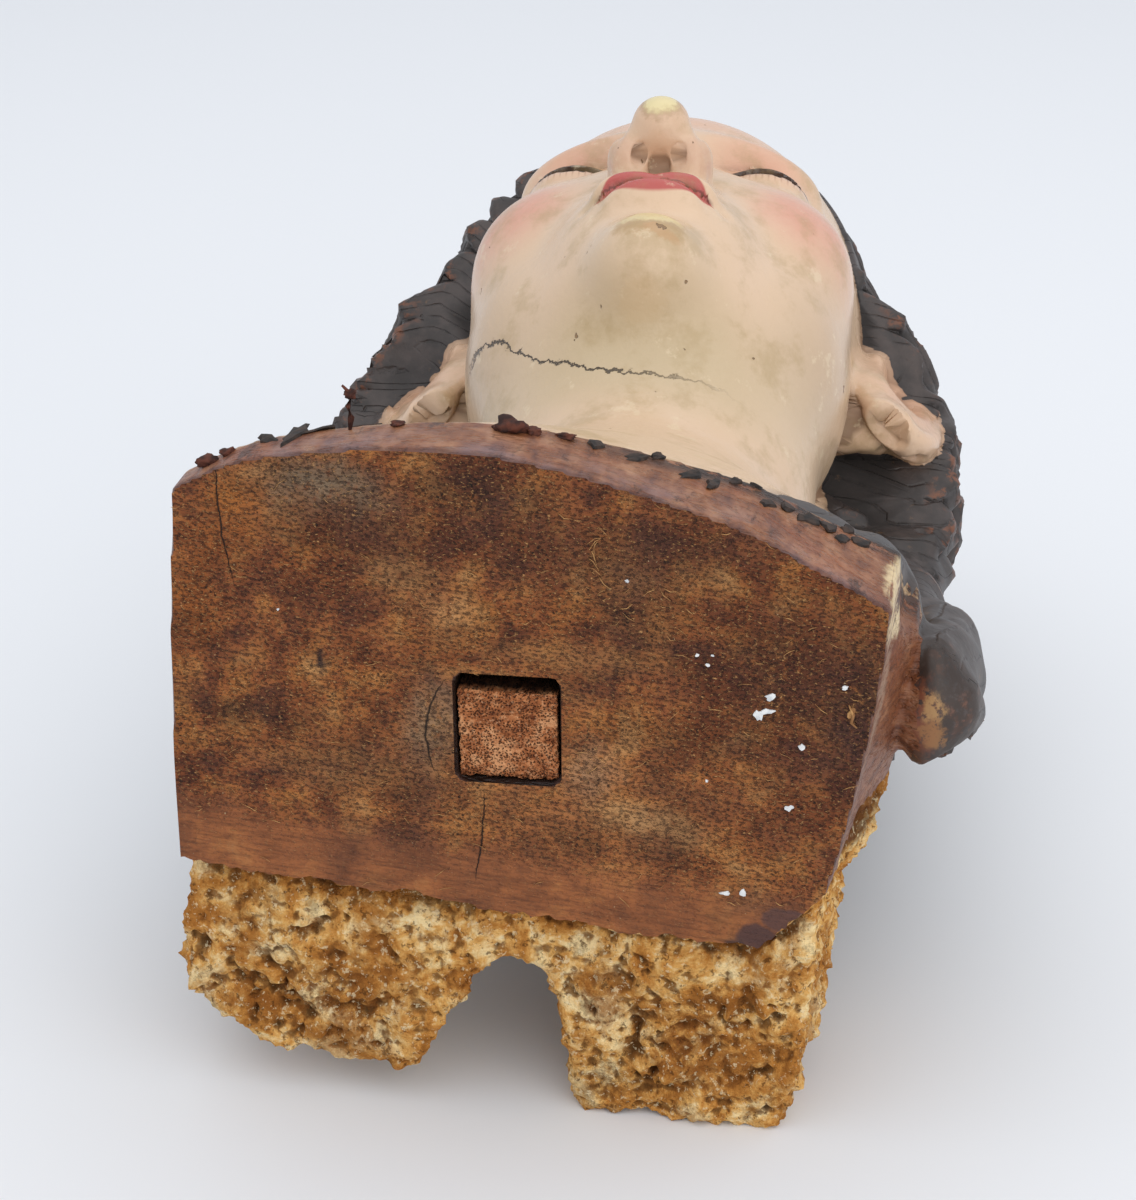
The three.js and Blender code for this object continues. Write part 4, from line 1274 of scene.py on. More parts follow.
def painted_hair(tree, place, hollow, strand, colours):
    """The colour of the hair: dark in its grooves, rubbed to the wood where it stands proud."""
    clouds = patches(tree, place, 9, 0.35, 0.65, 6, 0.6)
    hair = add(tree, "ShaderNodeMix", {0: clouds, 6: colours.hair, 7: "#463d3a"}, 2,
               data_type="RGBA")
    hair = laid_over(tree, hair, "#1d191a", strand, 0.22)
    sunk = add(tree, "ShaderNodeMapRange", {0: hollow, 1: 0.1, 2: 1.0},
               interpolation_type="SMOOTHSTEP")
    hair = laid_over(tree, hair, "#15110f", sunk, 0.7)
    proud = add(tree, "ShaderNodeMapRange", {0: hollow, 1: -0.3, 2: -1.1})
    rubbed = add(tree, "ShaderNodeMath",
                 {0: proud, 1: patches(tree, place, 5, 0.5, 0.6, 6, 0.7)}, operation="MULTIPLY")
    hair = laid_over(tree, hair, "#7a4a30", rubbed, 0.8)
    return weathered(tree, place, hair, [("#75593f", 0.5, 6, 0.62, 0.72, 6, 0.7)])


def throat_crack(tree, place):
    """A mask of the jagged crack round the throat, which the mesh's attributes place."""
    crack = add(tree, "ShaderNodeAttribute", out="Fac", attribute_name="crack")
    jagged = add(tree, "ShaderNodeTexNoise", {"Vector": place, "Scale": 0.3, "Detail": 6,
                                              "Roughness": 0.62})
    off = add(tree, "ShaderNodeMath", {0: jagged, 1: 5.0, 2: crack}, operation="MULTIPLY_ADD")
    off = add(tree, "ShaderNodeMath", {0: off, 1: 2.5}, operation="SUBTRACT")
    off = add(tree, "ShaderNodeMath", {0: off}, operation="ABSOLUTE")
    split = add(tree, "ShaderNodeMapRange", {0: off, 1: 0.34, 2: 0.12},
                interpolation_type="SMOOTHSTEP")
    open_there = add(tree, "ShaderNodeAttribute", out="Fac", attribute_name="crack_width")
    return add(tree, "ShaderNodeMath", {0: split, 1: open_there}, operation="MULTIPLY")


def painted_gesso(colours):
    """Oil paint over gesso: flesh varnished and handled to a soft shine, hair a dull black,
    both grimy in the hollows and worn on what stands proud."""
    material, tree, shader = start_material("aged oil paint over gesso", 0.35)
    head = place_in_mm(tree, HEAD_CENTRE, tuple(HEAD_TURN), CARVED_SCALE)
    place = place_in_mm(tree, (0, 0, 0))
    hollow = add(tree, "ShaderNodeAttribute", out="Fac", attribute_name="hollow")
    flesh, grime, chips = painted_flesh(tree, head, place, hollow, colours)
    strand = hair_strands(tree, place)
    hair = painted_hair(tree, place, hollow, strand, colours)

    edge = add(tree, "ShaderNodeAttribute", out="Fac", attribute_name="hair")
    shaken = add(tree, "ShaderNodeTexNoise", {"Vector": place, "Scale": 0.5, "Detail": 4})
    border = add(tree, "ShaderNodeMath", {0: shaken, 1: 1.2, 2: edge}, operation="MULTIPLY_ADD")
    is_hair = add(tree, "ShaderNodeMapRange", {0: border, 1: 0.2, 2: 0.8},
                  interpolation_type="SMOOTHSTEP")
    dirty_edge = add(tree, "ShaderNodeMapRange", {0: border, 1: -3.5, 2: 0.8},
                     interpolation_type="SMOOTHSTEP")
    flesh = laid_over(tree, flesh, "#6e5138", dirty_edge, 0.55)
    colour = add(tree, "ShaderNodeMix", {0: is_hair, 6: flesh, 7: hair}, 2, data_type="RGBA")
    flaked = patches(tree, place, 2.0, 0.34, 0.5, 7, 0.75)
    ragged = wobbled(tree, wobbled(tree, place, 6, 9), 1.5, 2.5)
    colour = spotted(tree, ragged, colour, BARE_LOCK, 0.5, flaked)
    split = throat_crack(tree, place)
    colour = laid_over(tree, colour, "#22140d", split, 0.9)
    tree.links.new(colour, shader.inputs["Base Color"])

    dull = add(tree, "ShaderNodeMapRange", {0: is_hair, 3: 0.26, 4: 0.48})
    dirt = add(tree, "ShaderNodeMath", {0: grime, 1: 0.35, 2: dull}, operation="MULTIPLY_ADD",
               use_clamp=True)
    tree.links.new(dirt, shader.inputs["Roughness"])
    skin = add(tree, "ShaderNodeTexNoise", {"Vector": place, "Scale": 0.45, "Detail": 5})
    height = add(tree, "ShaderNodeMath", {0: skin, 1: 0.35}, operation="MULTIPLY")
    lifted = add(tree, "ShaderNodeMath", {0: is_hair, 1: strand}, operation="MULTIPLY")
    for sunk in (lifted, split, chips):
        height = add(tree, "ShaderNodeMath", {0: height, 1: sunk}, operation="SUBTRACT")
    rough_bump(tree, shader, height, 0.45)
    return material


def eye_glass(colours):
    """Blown glass eye, painted behind the glass: clear, hard and wet-looking."""
    material, tree, shader = start_material("blown and painted glass", 0.06, 1.52)
    head = place_in_mm(tree, HEAD_CENTRE, tuple(HEAD_TURN), CARVED_SCALE)
    side = add(tree, "ShaderNodeVectorMath", {0: head}, operation="ABSOLUTE")
    lateral = add(tree, "ShaderNodeSeparateXYZ", {0: side})
    rise = add(tree, "ShaderNodeSeparateXYZ", {0: head}).node.outputs[1]
    gaze = add(tree, "ShaderNodeCombineXYZ", {0: lateral, 1: rise, 2: 0.0})
    from_pupil = add(tree, "ShaderNodeVectorMath", {0: gaze, 1: (EYE[0], EYE[1] - 0.6, 0)},
                     operation="SUBTRACT")
    far = add(tree, "ShaderNodeVectorMath", {0: from_pupil}, "Value",
              operation="LENGTH")
    scaled = add(tree, "ShaderNodeMath", {0: far, 1: 0.1}, operation="MULTIPLY")
    rings = add(tree, "ShaderNodeValToRGB", {0: scaled}, stops=[
        (0.0, "#0b0908"), (1.0, "#b9bdbb"), (0.24, "#0d0a09"), (0.3, colours.iris),
        (0.52, "#7d5f3e"), (0.6, "#2b1d14"), (0.66, "#c9cbc6")])
    rays = add(tree, "ShaderNodeTexNoise", {"Vector": from_pupil, "Scale": 1.4, "Detail": 4})
    tinted = laid_over(tree, rings, "#6f7c84", rays, 0.35)
    tree.links.new(tinted, shader.inputs["Base Color"])
    return material


def peg_wood(colours):
    """Broken end grain of a red open-pored hardwood: dry and rough, full of dark pores."""
    material, tree, shader = start_material("broken open-pored hardwood", 0.88, 1.45, 0.2)
    place = place_in_mm(tree, (0, 0, PEG_HEIGHT), (0, PEG_TURN, 0))
    cloud = add(tree, "ShaderNodeTexNoise", {"Vector": place, "Scale": 1 / 4, "Detail": 4.5,
                                             "Roughness": 0.72})
    colour = add(tree, "ShaderNodeValToRGB", {0: cloud}, stops=[
        (0.34, "#6b371d"), (0.64, "#cc9468"), (0.5, colours.peg_wood)])
    along = add(tree, "ShaderNodeMapping", {"Vector": wobbled(tree, place, 1.6, 0.8),
                                            "Scale": (1.0, 0.25, 1.15)})
    pore_cells = add(tree, "ShaderNodeTexVoronoi", {"Vector": along, "Scale": 1.9})
    pore = add(tree, "ShaderNodeMapRange", {0: pore_cells, 1: 0.46, 2: 0.26})
    some = patches(tree, place, 2.4, 0.3, 0.5, 4, 0.6, (0.3, 1, 1))
    pore = add(tree, "ShaderNodeMath", {0: pore, 1: some}, operation="MULTIPLY")
    colour = laid_over(tree, colour, "#331a10", pore, 0.85)
    colour = weathered(tree, place, colour, [
        ("#5f3421", 0.4, 1.2, 0.5, 0.64, 6, 0.7, (0.2, 1, 1)),
        ("#d0a27c", 0.45, 0.7, 0.56, 0.68, 4, 0.7)])
    # Painted shade: the peg darkens to near-black the deeper it lies in its mortise
    inward = add(tree, "ShaderNodeSeparateXYZ", {0: place}).node.outputs[1]
    deep = add(tree, "ShaderNodeMapRange", {0: inward, 1: 1.8, 2: 4.0})
    colour = laid_over(tree, colour, "#160c07", deep, 0.9)
    tree.links.new(colour, shader.inputs["Base Color"])
    rim = add(tree, "ShaderNodeMath", {0: cloud, 1: pore}, operation="SUBTRACT")
    rough_bump(tree, shader, rim, 0.6)
    return material


def plain_old_material(name, colour, second, roughness, size):
    """A small remnant: one colour that drifts into another over a few millimetres."""
    material, tree, shader = start_material(name, roughness)
    place = place_in_mm(tree, (0, 0, 0))
    cloud = add(tree, "ShaderNodeTexNoise", {"Vector": place, "Scale": 1 / size, "Detail": 5})
    mixed = add(tree, "ShaderNodeValToRGB", {0: cloud}, stops=[(0.4, colour), (0.6, second)])
    tree.links.new(mixed, shader.inputs["Base Color"])
    rough_bump(tree, shader, cloud, 0.2)
    return material


# Dressing of the bust
def paint_start(points):
    """How far from the underside the paint begins: at the band in front, farther at the sides."""
    front = smoothstep(*PAINT_TURN, points[:, 2])
    ragged = 1.4 * layered_noise(points, 6, 3, 5.0)
    in_front = PAINT_EDGE * band_edge(points[:, 0]) + ragged
    return front * in_front + (1 - front) * (SIDE_PAINT + 4 * ragged)


def on_locks(points):
    """Whether a point is on a lock, and the phase of its strands."""
    chosen = np.zeros(len(points), dtype=bool)
    phase = np.zeros(len(points))
    for lock in LOCKS:
        far, along, turn = lock_frame(points, lock)
        near = (far < 17 * (1 + 0.95 * along)) & (np.abs(points[:, 0]) > 77 - 20 * along)
        chosen |= near
        phase = np.where(near, 2 * turn / math.pi + 0.8 * along, phase)
    return chosen, phase


def mark_bust(mesh):
    """Stores on the points what the paint reads: hair or flesh, strands, hollows and cracks."""
    points, normals, edges = coordinates(mesh), point_normals(mesh), mesh_edges(mesh)
    _, y, z = points.T
    flesh, hair = head_field(points, True)
    on_head = (np.minimum(np.abs(flesh), np.abs(hair)) < 3) & (y > 66) | (y > 150)
    locks, phase = on_locks(points)
    in_locks = locks & ~((y > 110) & on_head)
    shoulders = shoulder_hair(points)
    hairiness = np.where(on_head, np.clip(flesh - hair, -10, 10), np.clip(shoulders, -10, 10))
    neck = (np.abs(neck_field(points)) < 3) & (y > 92) & (hair > 1.0) & (shoulders < 2)
    hairiness = np.where(neck, -4, hairiness)
    behind_neck = ~on_head & ~neck & (y > 98) & (z < 96)
    hairiness = np.where(behind_neck, 6, hairiness)
    near_ear = ellipsoid(mirrored(to_head(points)), (EAR, (22, 34, 26))) < 0
    hairiness = np.where(near_ear & (flesh < 0.6), np.minimum(hairiness, -2), hairiness)
    hairiness = np.where(in_locks, 8, hairiness)
    beside, behind, _, back = curl_phase(to_head(points))
    beside = np.where(in_locks, phase, beside)
    beside = np.where(in_locks & (y < 27), 0.125, beside)
    fallen = ~on_head & ~in_locks & ~neck
    beside = np.where(fallen, shoulder_phase(points), beside)
    hollow = ((smoothed(points, edges, 10) - points) * normals).sum(1)
    off_crack, crack_width = crack_offset(points)
    marks = {
        "hair": hairiness, "beside": beside, "behind": behind,
        "back": np.where(in_locks | fallen, 0, back), "hollow": hollow, "crack": off_crack,
        "crack_width": crack_width, "paint": np.clip(y - paint_start(points), -40, 40),
    }
    for name, values in marks.items():
        set_attribute(mesh, name, values)


def crack_offset(points):
    """Distance across the crack that runs round the throat, and how open the crack is."""
    x, y, z = points.T
    line = np.interp(x, [p[0] for p in THROAT_CRACK], [p[1] for p in THROAT_CRACK])
    ends = smoothstep(-35, -29, x) * smoothstep(43, 2, x) * smoothstep(96, 108, z)
    return np.clip(y - line, -20, 20), ends


def dress_bust(piece, colours):
    """Gives each face of the bust its material: paint, side grain, rot or sawn end grain."""
    mesh = piece.data
    mark_bust(mesh)
    looks = [painted_gesso(colours), bare_side_wood(colours), rotten_wood(colours),
             sawn_end_grain(colours)]
    for look in looks:
        mesh.materials.append(look)
    total = len(mesh.polygons)
    centres, facing = np.empty(total * 3), np.empty(total * 3)
    mesh.polygons.foreach_get("center", centres)
    mesh.polygons.foreach_get("normal", facing)
    points = centres.reshape(-1, 3) / MM - ORIGIN
    facing = facing.reshape(-1, 3)
    x, y, z = points.T
    across, up = block_frame(points)
    flesh, hair = head_field(points, False)
    on_head = (np.minimum(np.abs(flesh), np.abs(hair)) < 4) & (y > 62) | (y > 150)
    neck = (np.abs(neck_field(points)) < 3) & (y > 98)
    locks, _ = on_locks(points)
    ragged = 1.2 * layered_noise(points, 7, 3, 2.0)
    rot = (up < rot_line(across, y) + ragged) & (y > 0.4)
    rot |= (facing[:, 2] < 0.1) & (z < 62 + 6 * ragged) & (y > 30)
    look = np.full(total, SIDE_GRAIN, dtype=np.int32)
    look[y > paint_start(points)] = PAINTED
    look[rot] = ROTTEN
    look[on_head | neck | locks] = PAINTED
    block_beside_lock = (x > 0) & (x < 83.5 + 0.6 * ragged) & (y < 30) & (z < 112)
    look[locks & block_beside_lock] = SIDE_GRAIN
    look[(y < 0.3) & (facing[:, 1] < -0.7) & (up > skin_foot(across) - 4)] = SAWN
    mesh.polygons.foreach_set("material_index", look)
    mesh.polygons.foreach_set("use_smooth", np.ones(total, dtype=bool))
    mesh.set_sharp_from_angle(angle=SHARP_FROM)
    mesh.update()


# Small pieces
def glass_eye(side, material):
    """The front of a glass ball, cut flat inside the head and set behind the lids."""
    work = bmesh.new()
    bmesh.ops.create_uvsphere(work, u_segments=48, v_segments=32, radius=EYE_RADIUS)
    cut = work.verts[:] + work.edges[:] + work.faces[:]
    made = bmesh.ops.bisect_plane(work, geom=cut, plane_co=(0, 0, GLASS_CUT),
                                  plane_no=(0, 0, 1), clear_inner=True)
    rim = [e for e in made["geom_cut"] if isinstance(e, bmesh.types.BMEdge)]
    bmesh.ops.contextual_create(work, geom=rim)
    for vertex in work.verts:
        place = from_head(np.array(vertex.co) + (side * EYE[0], EYE[1], EYE[2]))
        vertex.co = (place + ORIGIN) * MM
    bmesh.ops.recalc_face_normals(work, faces=work.faces)
    name = "painted_eye_left" if side < 0 else "painted_eye_right"
    return finish_piece(work, name, material)


def finish_piece(work, name, material, smooth=True):
    """Turns a bmesh into a piece of the bust's own body, with its material and slot."""
    mesh = bpy.data.meshes.new(name)
    work.to_mesh(mesh)
    work.free()
    mesh.materials.append(material)
    for face in mesh.polygons:
        face.use_smooth = smooth
    piece = new_piece(name, mesh)
    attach(piece, "root")
    return piece


def peg_stub(material):
    """A square peg broken off rough: its end is torn into short fibres and its edges are frayed."""
    work = bmesh.new()
    bmesh.ops.create_cube(work, size=1)
    bmesh.ops.scale(work, verts=work.verts, vec=(PEG_SIDE, PEG_LENGTH, PEG_SIDE))
    bmesh.ops.subdivide_edges(work, edges=work.edges, cuts=46, use_grid_fill=True)
    half = PEG_SIDE / 2
    middle = (0, PEG_RECESS + PEG_LENGTH / 2, PEG_HEIGHT)
    turn = Euler((0, PEG_TURN, 0)).to_matrix()
    for vertex in work.verts:
        x, y, z = vertex.co
        front = max(0.0, -y / (PEG_LENGTH / 2) * 3 - 2)  # 1 at the broken end, 0 inside
        rim = max(abs(x), abs(z)) / half
        torn = noise.fractal(Vector((x * 0.35, 2.0, z * 1.1)), 0.8, 2.0, 4)
        frayed = noise.fractal(Vector((x, y * 0.2, z)) * 0.9, 0.8, 2.0, 3)
        low_edge = max(0.0, -z / half - 0.8) * 5
        vertex.co.y += front * (0.45 + 0.55 * torn + 0.5 * low_edge * abs(frayed) * 3)
        top = max(0.0, z / half - 0.9) * 10
        vertex.co.z -= top * (0.9 + 0.5 * frayed + 0.035 * x)
        if rim > 0.97:
            vertex.co.x *= 1 + 0.03 * (frayed - 0.3) * front
            vertex.co.z *= 1 + 0.03 * (frayed - 0.3) * front
        vertex.co.x += 0.3 * max(0.0, x / half)
        vertex.co.z -= 0.4 * max(0.0, -z / half)
        vertex.co = (np.array(turn @ vertex.co) + middle + ORIGIN) * MM
    return finish_piece(work, "broken_peg", material)


def settled(tree, place, toward):
    """Where something that goes toward the bust from outside comes to rest on it."""
    toward = Vector(toward).normalized()
    start = Vector((np.array(place, float) + ORIGIN) * MM) - DROP * toward
    found, facing, _, _ = tree.ray_cast(start, toward)
    if found is None:
        return np.array(place, float), -toward
    return np.array(found) / MM - ORIGIN, facing


def add_flake(work, place, facing, turn, size, thickness, draw):
    """A ragged flake that lies on a place: a drawn outline, thick and lifted unevenly."""
    count = FLAKE_CORNERS
    lay = facing.to_track_quat("Z", "Y").to_matrix()
    swing = Euler((0, 0, turn)).to_matrix()
    reach = draw.uniform(0.55, 1.1, count)
    rings = []
    for level in (-0.4, 1.0):
        ring = []
        for i in range(count):
            angle = 2 * math.pi * i / count
            inward = 1 if level < 0 else draw.uniform(0.72, 0.98)
            local = Vector((math.cos(angle) * size[0], math.sin(angle) * size[1], 0))
            local = local * (0.5 * reach[i] * inward)
            local.z = thickness * level * draw.uniform(0.6, 1.4)
            point = np.array(lay @ (swing @ local)) + place
            ring.append(work.verts.new((point + ORIGIN) * MM))
        rings.append(ring)
    low, high = rings
    for i in range(count):
        j = (i + 1) % count
        work.faces.new((low[i], low[j], high[j], high[i]))
    work.faces.new(list(reversed(low)))
    middle = sum((v.co for v in high), Vector()) / count
    raised = work.verts.new(middle + facing * thickness * 0.3 * MM)
    for i in range(count):
        work.faces.new((high[i], high[(i + 1) % count], raised))


def add_stick(work, points, radius):
    """A bent splinter through a few points, thin at both ends."""
    rings = []
    for i, at in enumerate(points):
        ahead = Vector(points[min(i + 1, len(points) - 1)]) - Vector(points[max(i - 1, 0)])
        across = ahead.to_track_quat("Z", "Y").to_matrix()
        thick = radius * (0.45 if i in (0, len(points) - 1) else 1.0)
        ring = []
        for k in range(6):
            angle = k * math.pi / 3
            spoke = across @ Vector((math.cos(angle) * thick, math.sin(angle) * thick * 0.7, 0))
            ring.append(work.verts.new((np.array(at) + np.array(spoke) + ORIGIN) * MM))
        rings.append(ring)
    for low, high in zip(rings, rings[1:]):
        for k in range(6):
            j = (k + 1) % 6
            work.faces.new((low[k], low[j], high[j], high[k]))
    work.faces.new(list(reversed(rings[0])))
    work.faces.new(rings[-1])


def add_lump(work, place, size, draw):
    """A crumb of dirt: a small lump, shaken out of round."""
    made = bmesh.ops.create_icosphere(work, subdivisions=3, radius=1)
    shift = Vector(draw.uniform(0, 50, 3))
    for vertex in made["verts"]:
        rough = noise.fractal(vertex.co * 1.3 + shift, 0.8, 2.0, 4)
        shaped = np.array(vertex.co) * (1 + 0.55 * rough) * np.array(size) / 2
        vertex.co = (shaped + place + ORIGIN) * MM


def white_flecks(tree, draw):
    work = bmesh.new()
    for x, z, wide, high, turn in WHITE_FLECKS:
        place, _ = settled(tree, (x, 0, z), INTO_WOOD)
        add_flake(work, place, Vector(OUT_OF_WOOD), turn, (wide, high), 0.22, draw)
    return work


def black_flakes(tree, draw):
    work = bmesh.new()
    for x, short, wide, deep, turn in BLACK_FLAKES:
        y = PAINT_EDGE * band_edge(np.array(x)) - short
        place, facing = settled(tree, (x, y, ABOVE_ALL), DOWN)
        facing = (facing + Vector(draw.uniform(-0.16, 0.16, 3))).normalized()
        add_flake(work, place, facing, turn, (1.25 * wide, 1.2 * deep), 0.45, draw)
    return work


def crumbs_of_dirt(tree, draw):
    """Clumps of dirt on the front edge, and a bent crumb of it that stands up at the left."""
    work = bmesh.new()
    for x, y, size in CRUMBS:
        place, _ = settled(tree, (x, y, ABOVE_ALL), DOWN)
        add_lump(work, place + (0, 0, 0.2 * size[2]), size, draw)
    foot, _ = settled(tree, (*TWIG_FOOT, ABOVE_ALL), DOWN)
    add_stick(work, [foot + bend for bend in TWIG_BENDS], 0.75)
    add_lump(work, foot + (0.4, 0, 7.6), (2.4, 1.6, 2.0), draw)
    return work


def torn_fibres(tree, draw):
    """Fibres that the saw lifted: short ones all over, a curl of them, and a splinter at the
    right edge."""
    work = bmesh.new()
    for _ in range(FIBRE_COUNT):
        x, z = draw.uniform(-70, 72), draw.uniform(56, 150)
        if max(abs(x), abs(z - PEG_HEIGHT)) < 13:
            continue
        place, _ = settled(tree, (x, -1, z), INTO_WOOD)
        if abs(place[1]) > 0.4:
            continue
        angle, length = draw.uniform(-0.9, 0.9), draw.uniform(0.5, 1.9)
        side = np.array((math.cos(angle), 0, math.sin(angle))) * length
        bow = np.array((-side[2], 0, side[0])) * draw.uniform(-0.35, 0.35)
        proud = np.array((0, -draw.uniform(0.1, 0.5), 0))
        add_stick(work, [place - side, place + bow + proud, place + side + 0.4 * proud],
                  draw.uniform(0.06, 0.14))
    for i in range(7):
        angle = 0.5 + 0.35 * i
        start = np.array((16.5 + 0.5 * i, -0.1, 139 - 1.1 * i))
        curl = np.array((math.cos(angle), 0, math.sin(angle))) * 3.2
        add_stick(work, [start, start + 0.6 * curl + (0, -0.5, 0.7), start + curl], 0.16)
    add_stick(work, [np.array(p) for p in SPLINTER], 0.45)
    add_flake(work, np.array((70.2, 0, 105.4)), Vector(OUT_OF_WOOD), 1.3, (3.0, 1.6), 0.25, draw)
    return work


REMAINS = (
    (white_flecks, "white_paint_flecks", "flecks of white paint", "#e4e6e6", "#c9cdd0", 0.6),
    (black_flakes, "black_paint_flakes", "flakes of old black paint", "#1c1512", "#3d2d24", 0.75),
    (crumbs_of_dirt, "dirt_crumbs", "crumbs of dried dirt", "#2e1712", "#5c3021", 0.9),
    (torn_fibres, "torn_wood_fibres", "torn wood fibres", "#b98d58", "#8a5f37", 0.85),
)


def loose_remains(bust):
    """What clings to the old wood: flecks, flakes, crumbs and torn fibres."""
    tree = BVHTree.FromObject(bust, bpy.context.evaluated_depsgraph_get())
    draw = np.random.default_rng(7)
    for make, name, stuff, colour, second, roughness in REMAINS:
        work = make(tree, draw)
        bmesh.ops.recalc_face_normals(work, faces=work.faces)
        material = plain_old_material(stuff, colour, second, roughness, 2.0)
        finish_piece(work, name, material, smooth=name == "dirt_crumbs")


def make_stage(colours):
    """A pale floor that sweeps up behind into a backdrop."""
    work = bmesh.new()
    near = [work.verts.new((-FLOOR_WIDTH / 2, y, 0)) for y in FLOOR_ENDS]
    work.edges.new(near)
    bmesh.ops.spin(work, geom=[near[1]], cent=(0, FLOOR_ENDS[1], SWEEP), axis=(1, 0, 0),
                   angle=math.radians(85), steps=24, use_merge=False)
    bmesh.ops.remove_doubles(work, verts=work.verts, dist=1e-5)
    wide = bmesh.ops.extrude_edge_only(work, edges=work.edges[:])
    moved = [g for g in wide["geom"] if isinstance(g, bmesh.types.BMVert)]
    bmesh.ops.translate(work, verts=moved, vec=(FLOOR_WIDTH, 0, 0))
    bmesh.ops.recalc_face_normals(work, faces=work.faces)
    mesh = bpy.data.meshes.new("floor")
    work.to_mesh(mesh)
    work.free()
    material, _, shader = start_material("matt white paper", 0.9)
    shader.inputs["Specular IOR Level"].default_value = 0.15
    shader.inputs["Base Color"].default_value = tuple(colours.floor)
    mesh.materials.append(material)
    for face in mesh.polygons:
        face.use_smooth = True
    new_piece("floor", mesh)


def soft_light(name, place, aim, size, power, colour):
    """A square light over or in front of the bust."""
    light = bpy.data.lights.new(name, "AREA")
    light.shape = "RECTANGLE"
    light.size = light.size_y = size
    light.energy = power
    light.color = linear(colour)[:3]
    lamp = bpy.data.objects.new(name, light)
    bpy.context.scene.collection.objects.link(lamp)
    lamp.location = place
    lamp.rotation_euler = (Vector(aim) - Vector(place)).to_track_quat("-Z", "Y").to_euler()


def set_camera():
    """The photograph's view: close to the underside, looking down on it a little."""
    aim = Vector((ORIGIN + CAMERA_AIM) * MM)
    turn, rise = CAMERA_TURN
    back = Vector((math.sin(turn) * math.cos(rise), -math.cos(turn) * math.cos(rise),
                   math.sin(rise)))
    camera = bpy.data.cameras.new("camera")
    camera.lens, camera.sensor_width, camera.sensor_fit = CAMERA_LENS, 36.0, "AUTO"
    seen = bpy.data.objects.new("camera", camera)
    bpy.context.scene.collection.objects.link(seen)
    seen.location = aim + CAMERA_FAR * back
    seen.rotation_euler = (-back).to_track_quat("-Z", "Y").to_euler()
    bpy.context.scene.camera = seen


# The add-on
def paint_property(name, description, colour):
    return FloatVectorProperty(name=name, description=description, subtype="COLOR", size=4,
                               min=0, max=1, default=linear(colour))


class BustSizes(bpy.types.PropertyGroup):
    fineness: FloatProperty(
        name="Carving fineness", description="Size of the mesh that the carving is worked in",
        default=0.00115, min=0.0008, max=0.003, unit="LENGTH", precision=5)
    most_faces: IntProperty(
        name="Most triangles", description="Triangles that the carved bust may keep",
        default=190000, min=20000, max=198000)


class BustColours(bpy.types.PropertyGroup):
    flesh: paint_property("Flesh", "Paint of the face, ears and neck", "#d6b898")
    lips: paint_property("Lips", "Paint of the lips", "#b02a34")
    lashes: paint_property("Lashes and brows", "Paint of the lash lines and brows", "#241713")
    hair: paint_property("Hair", "Paint of the hair", "#2f2927")
    end_grain_dark: paint_property("End grain, dark", "Darkest of the sawn underside", "#3a1a10")
    end_grain_light: paint_property("End grain, light", "Lightest of the sawn underside",
                                    "#b4824e")
    side_wood: paint_property("Side wood", "Bare wood of the band and sides", "#8a5738")
    rot_light: paint_property("Rot, light", "Palest of the rotten wood", "#f4d9a2")
    rot_dark: paint_property("Rot, stained", "Brown stain in the rotten wood's hollows", "#6a4220")
    peg_wood: paint_property("Peg", "Wood of the broken peg", "#a8683f")
    iris: paint_property("Iris", "Colour of the glass eyes", "#4a3422")
    floor: paint_property("Floor", "Paper under and behind the bust", "#e9ebee")


class CarveBust(bpy.types.Operator):
    """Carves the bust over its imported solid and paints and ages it"""
    bl_idname = "bust.carve"
    bl_label = "Carve the bust"

    def execute(self, context):
        sizes = context.scene.bust_sizes
        piece = carved_bust(sizes.fineness / MM, sizes.most_faces)
        dress_bust(piece, context.scene.bust_colours)
        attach(piece, "root")
        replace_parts(piece, "bust")
        return {"FINISHED"}


class SetEyes(bpy.types.Operator):
    """Sets the two glass eyes behind their lids"""
    bl_idname = "bust.eyes"
    bl_label = "Set the glass eyes"

    def execute(self, context):
        material = eye_glass(context.scene.bust_colours)
        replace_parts(glass_eye(-1, material), "glass_eye_left")
        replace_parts(glass_eye(1, material), "glass_eye_right")
        return {"FINISHED"}


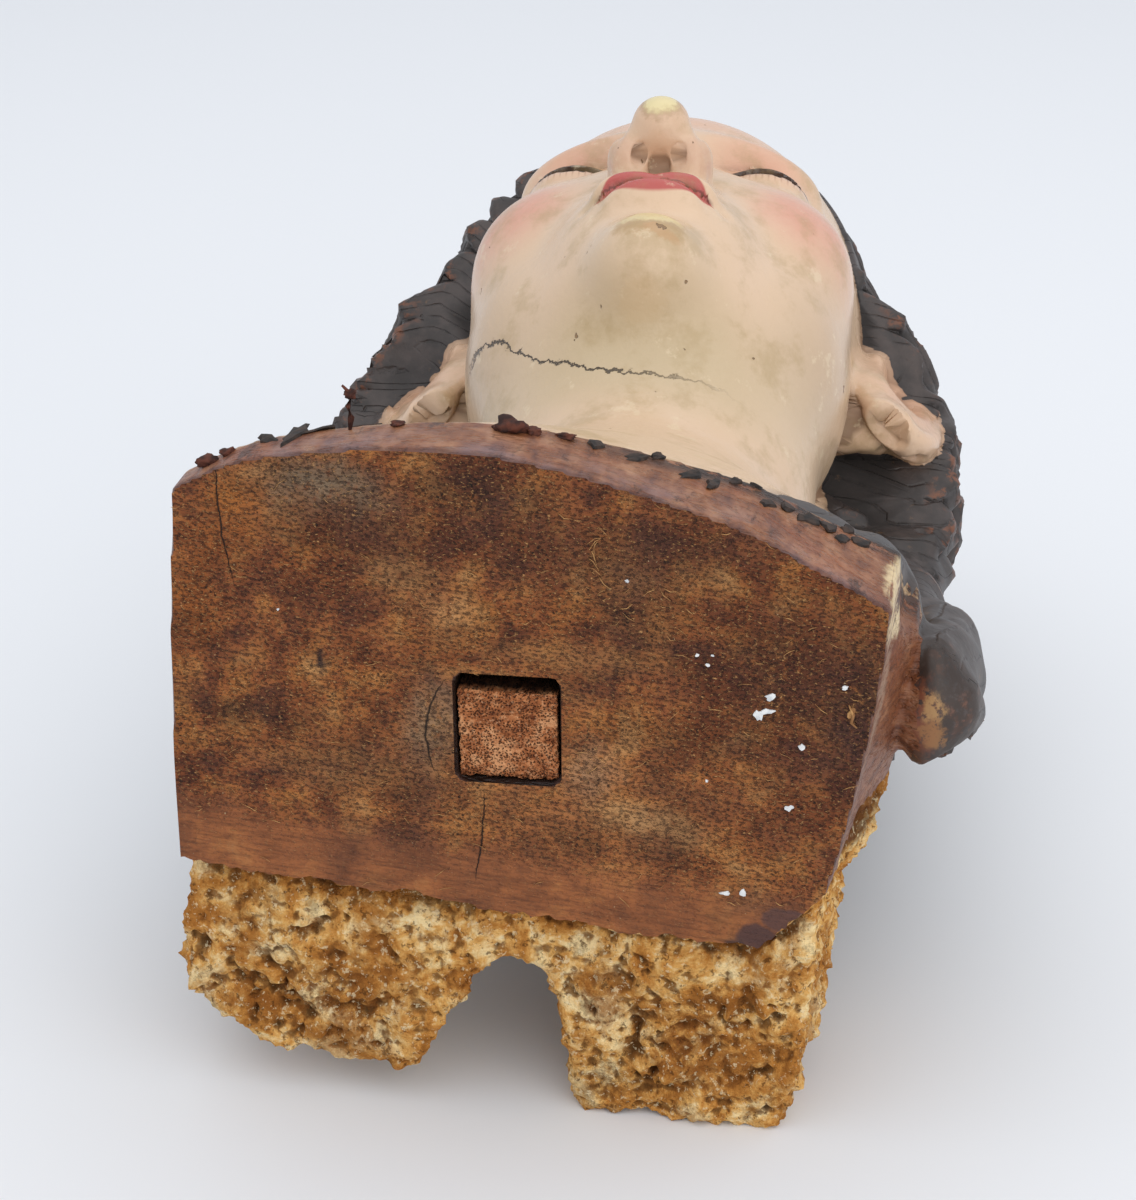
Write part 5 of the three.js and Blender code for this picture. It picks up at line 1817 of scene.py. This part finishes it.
class BreakPeg(bpy.types.Operator):
    """Puts the broken stub of the square peg in its mortise"""
    bl_idname = "bust.peg"
    bl_label = "Break the peg"

    def execute(self, context):
        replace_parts(peg_stub(peg_wood(context.scene.bust_colours)), "peg")
        return {"FINISHED"}


class ScatterRemains(bpy.types.Operator):
    """Settles the loose flakes, flecks, crumbs and fibres on the carved bust"""
    bl_idname = "bust.remains"
    bl_label = "Scatter the loose remains"

    def execute(self, context):
        loose_remains(bpy.data.objects["carved_bust"])
        return {"FINISHED"}


class SetStage(bpy.types.Operator):
    """Lays the pale floor, hangs the soft lights and sets the camera"""
    bl_idname = "bust.stage"
    bl_label = "Set the stage"

    def execute(self, context):
        make_stage(context.scene.bust_colours)
        for light in LIGHTS:
            soft_light(*light)
        world = bpy.data.worlds.new("pale room")
        world.use_nodes = True
        sky = world.node_tree.nodes["Background"]
        sky.inputs["Color"].default_value = linear(ROOM_COLOUR)
        sky.inputs["Strength"].default_value = ROOM_LIGHT
        context.scene.world = world
        context.scene.view_settings.view_transform = "Standard"
        set_camera()
        return {"FINISHED"}


class BustPanel(bpy.types.Panel):
    bl_idname = "VIEW3D_PT_bust"
    bl_label = "Carved wooden bust"
    bl_space_type = "VIEW_3D"
    bl_region_type = "UI"
    bl_category = "Bust"

    def draw(self, context):
        for group in (context.scene.bust_sizes, context.scene.bust_colours):
            for name in type(group).__annotations__:
                self.layout.prop(group, name)
        for step in STEPS:
            self.layout.operator(step.bl_idname)


STEPS = (CarveBust, SetEyes, BreakPeg, ScatterRemains, SetStage)
CLASSES = (BustSizes, BustColours, *STEPS, BustPanel)


def register():
    for item in CLASSES:
        bpy.utils.register_class(item)
    bpy.types.Scene.bust_sizes = PointerProperty(type=BustSizes)
    bpy.types.Scene.bust_colours = PointerProperty(type=BustColours)


def unregister():
    del bpy.types.Scene.bust_sizes
    del bpy.types.Scene.bust_colours
    for item in reversed(CLASSES):
        bpy.utils.unregister_class(item)


def main():
    register()
    bpy.ops.bust.stage()
    bpy.ops.bust.carve()
    bpy.ops.bust.eyes()
    bpy.ops.bust.peg()
    bpy.ops.bust.remains()


if __name__ == "__main__":
    main()
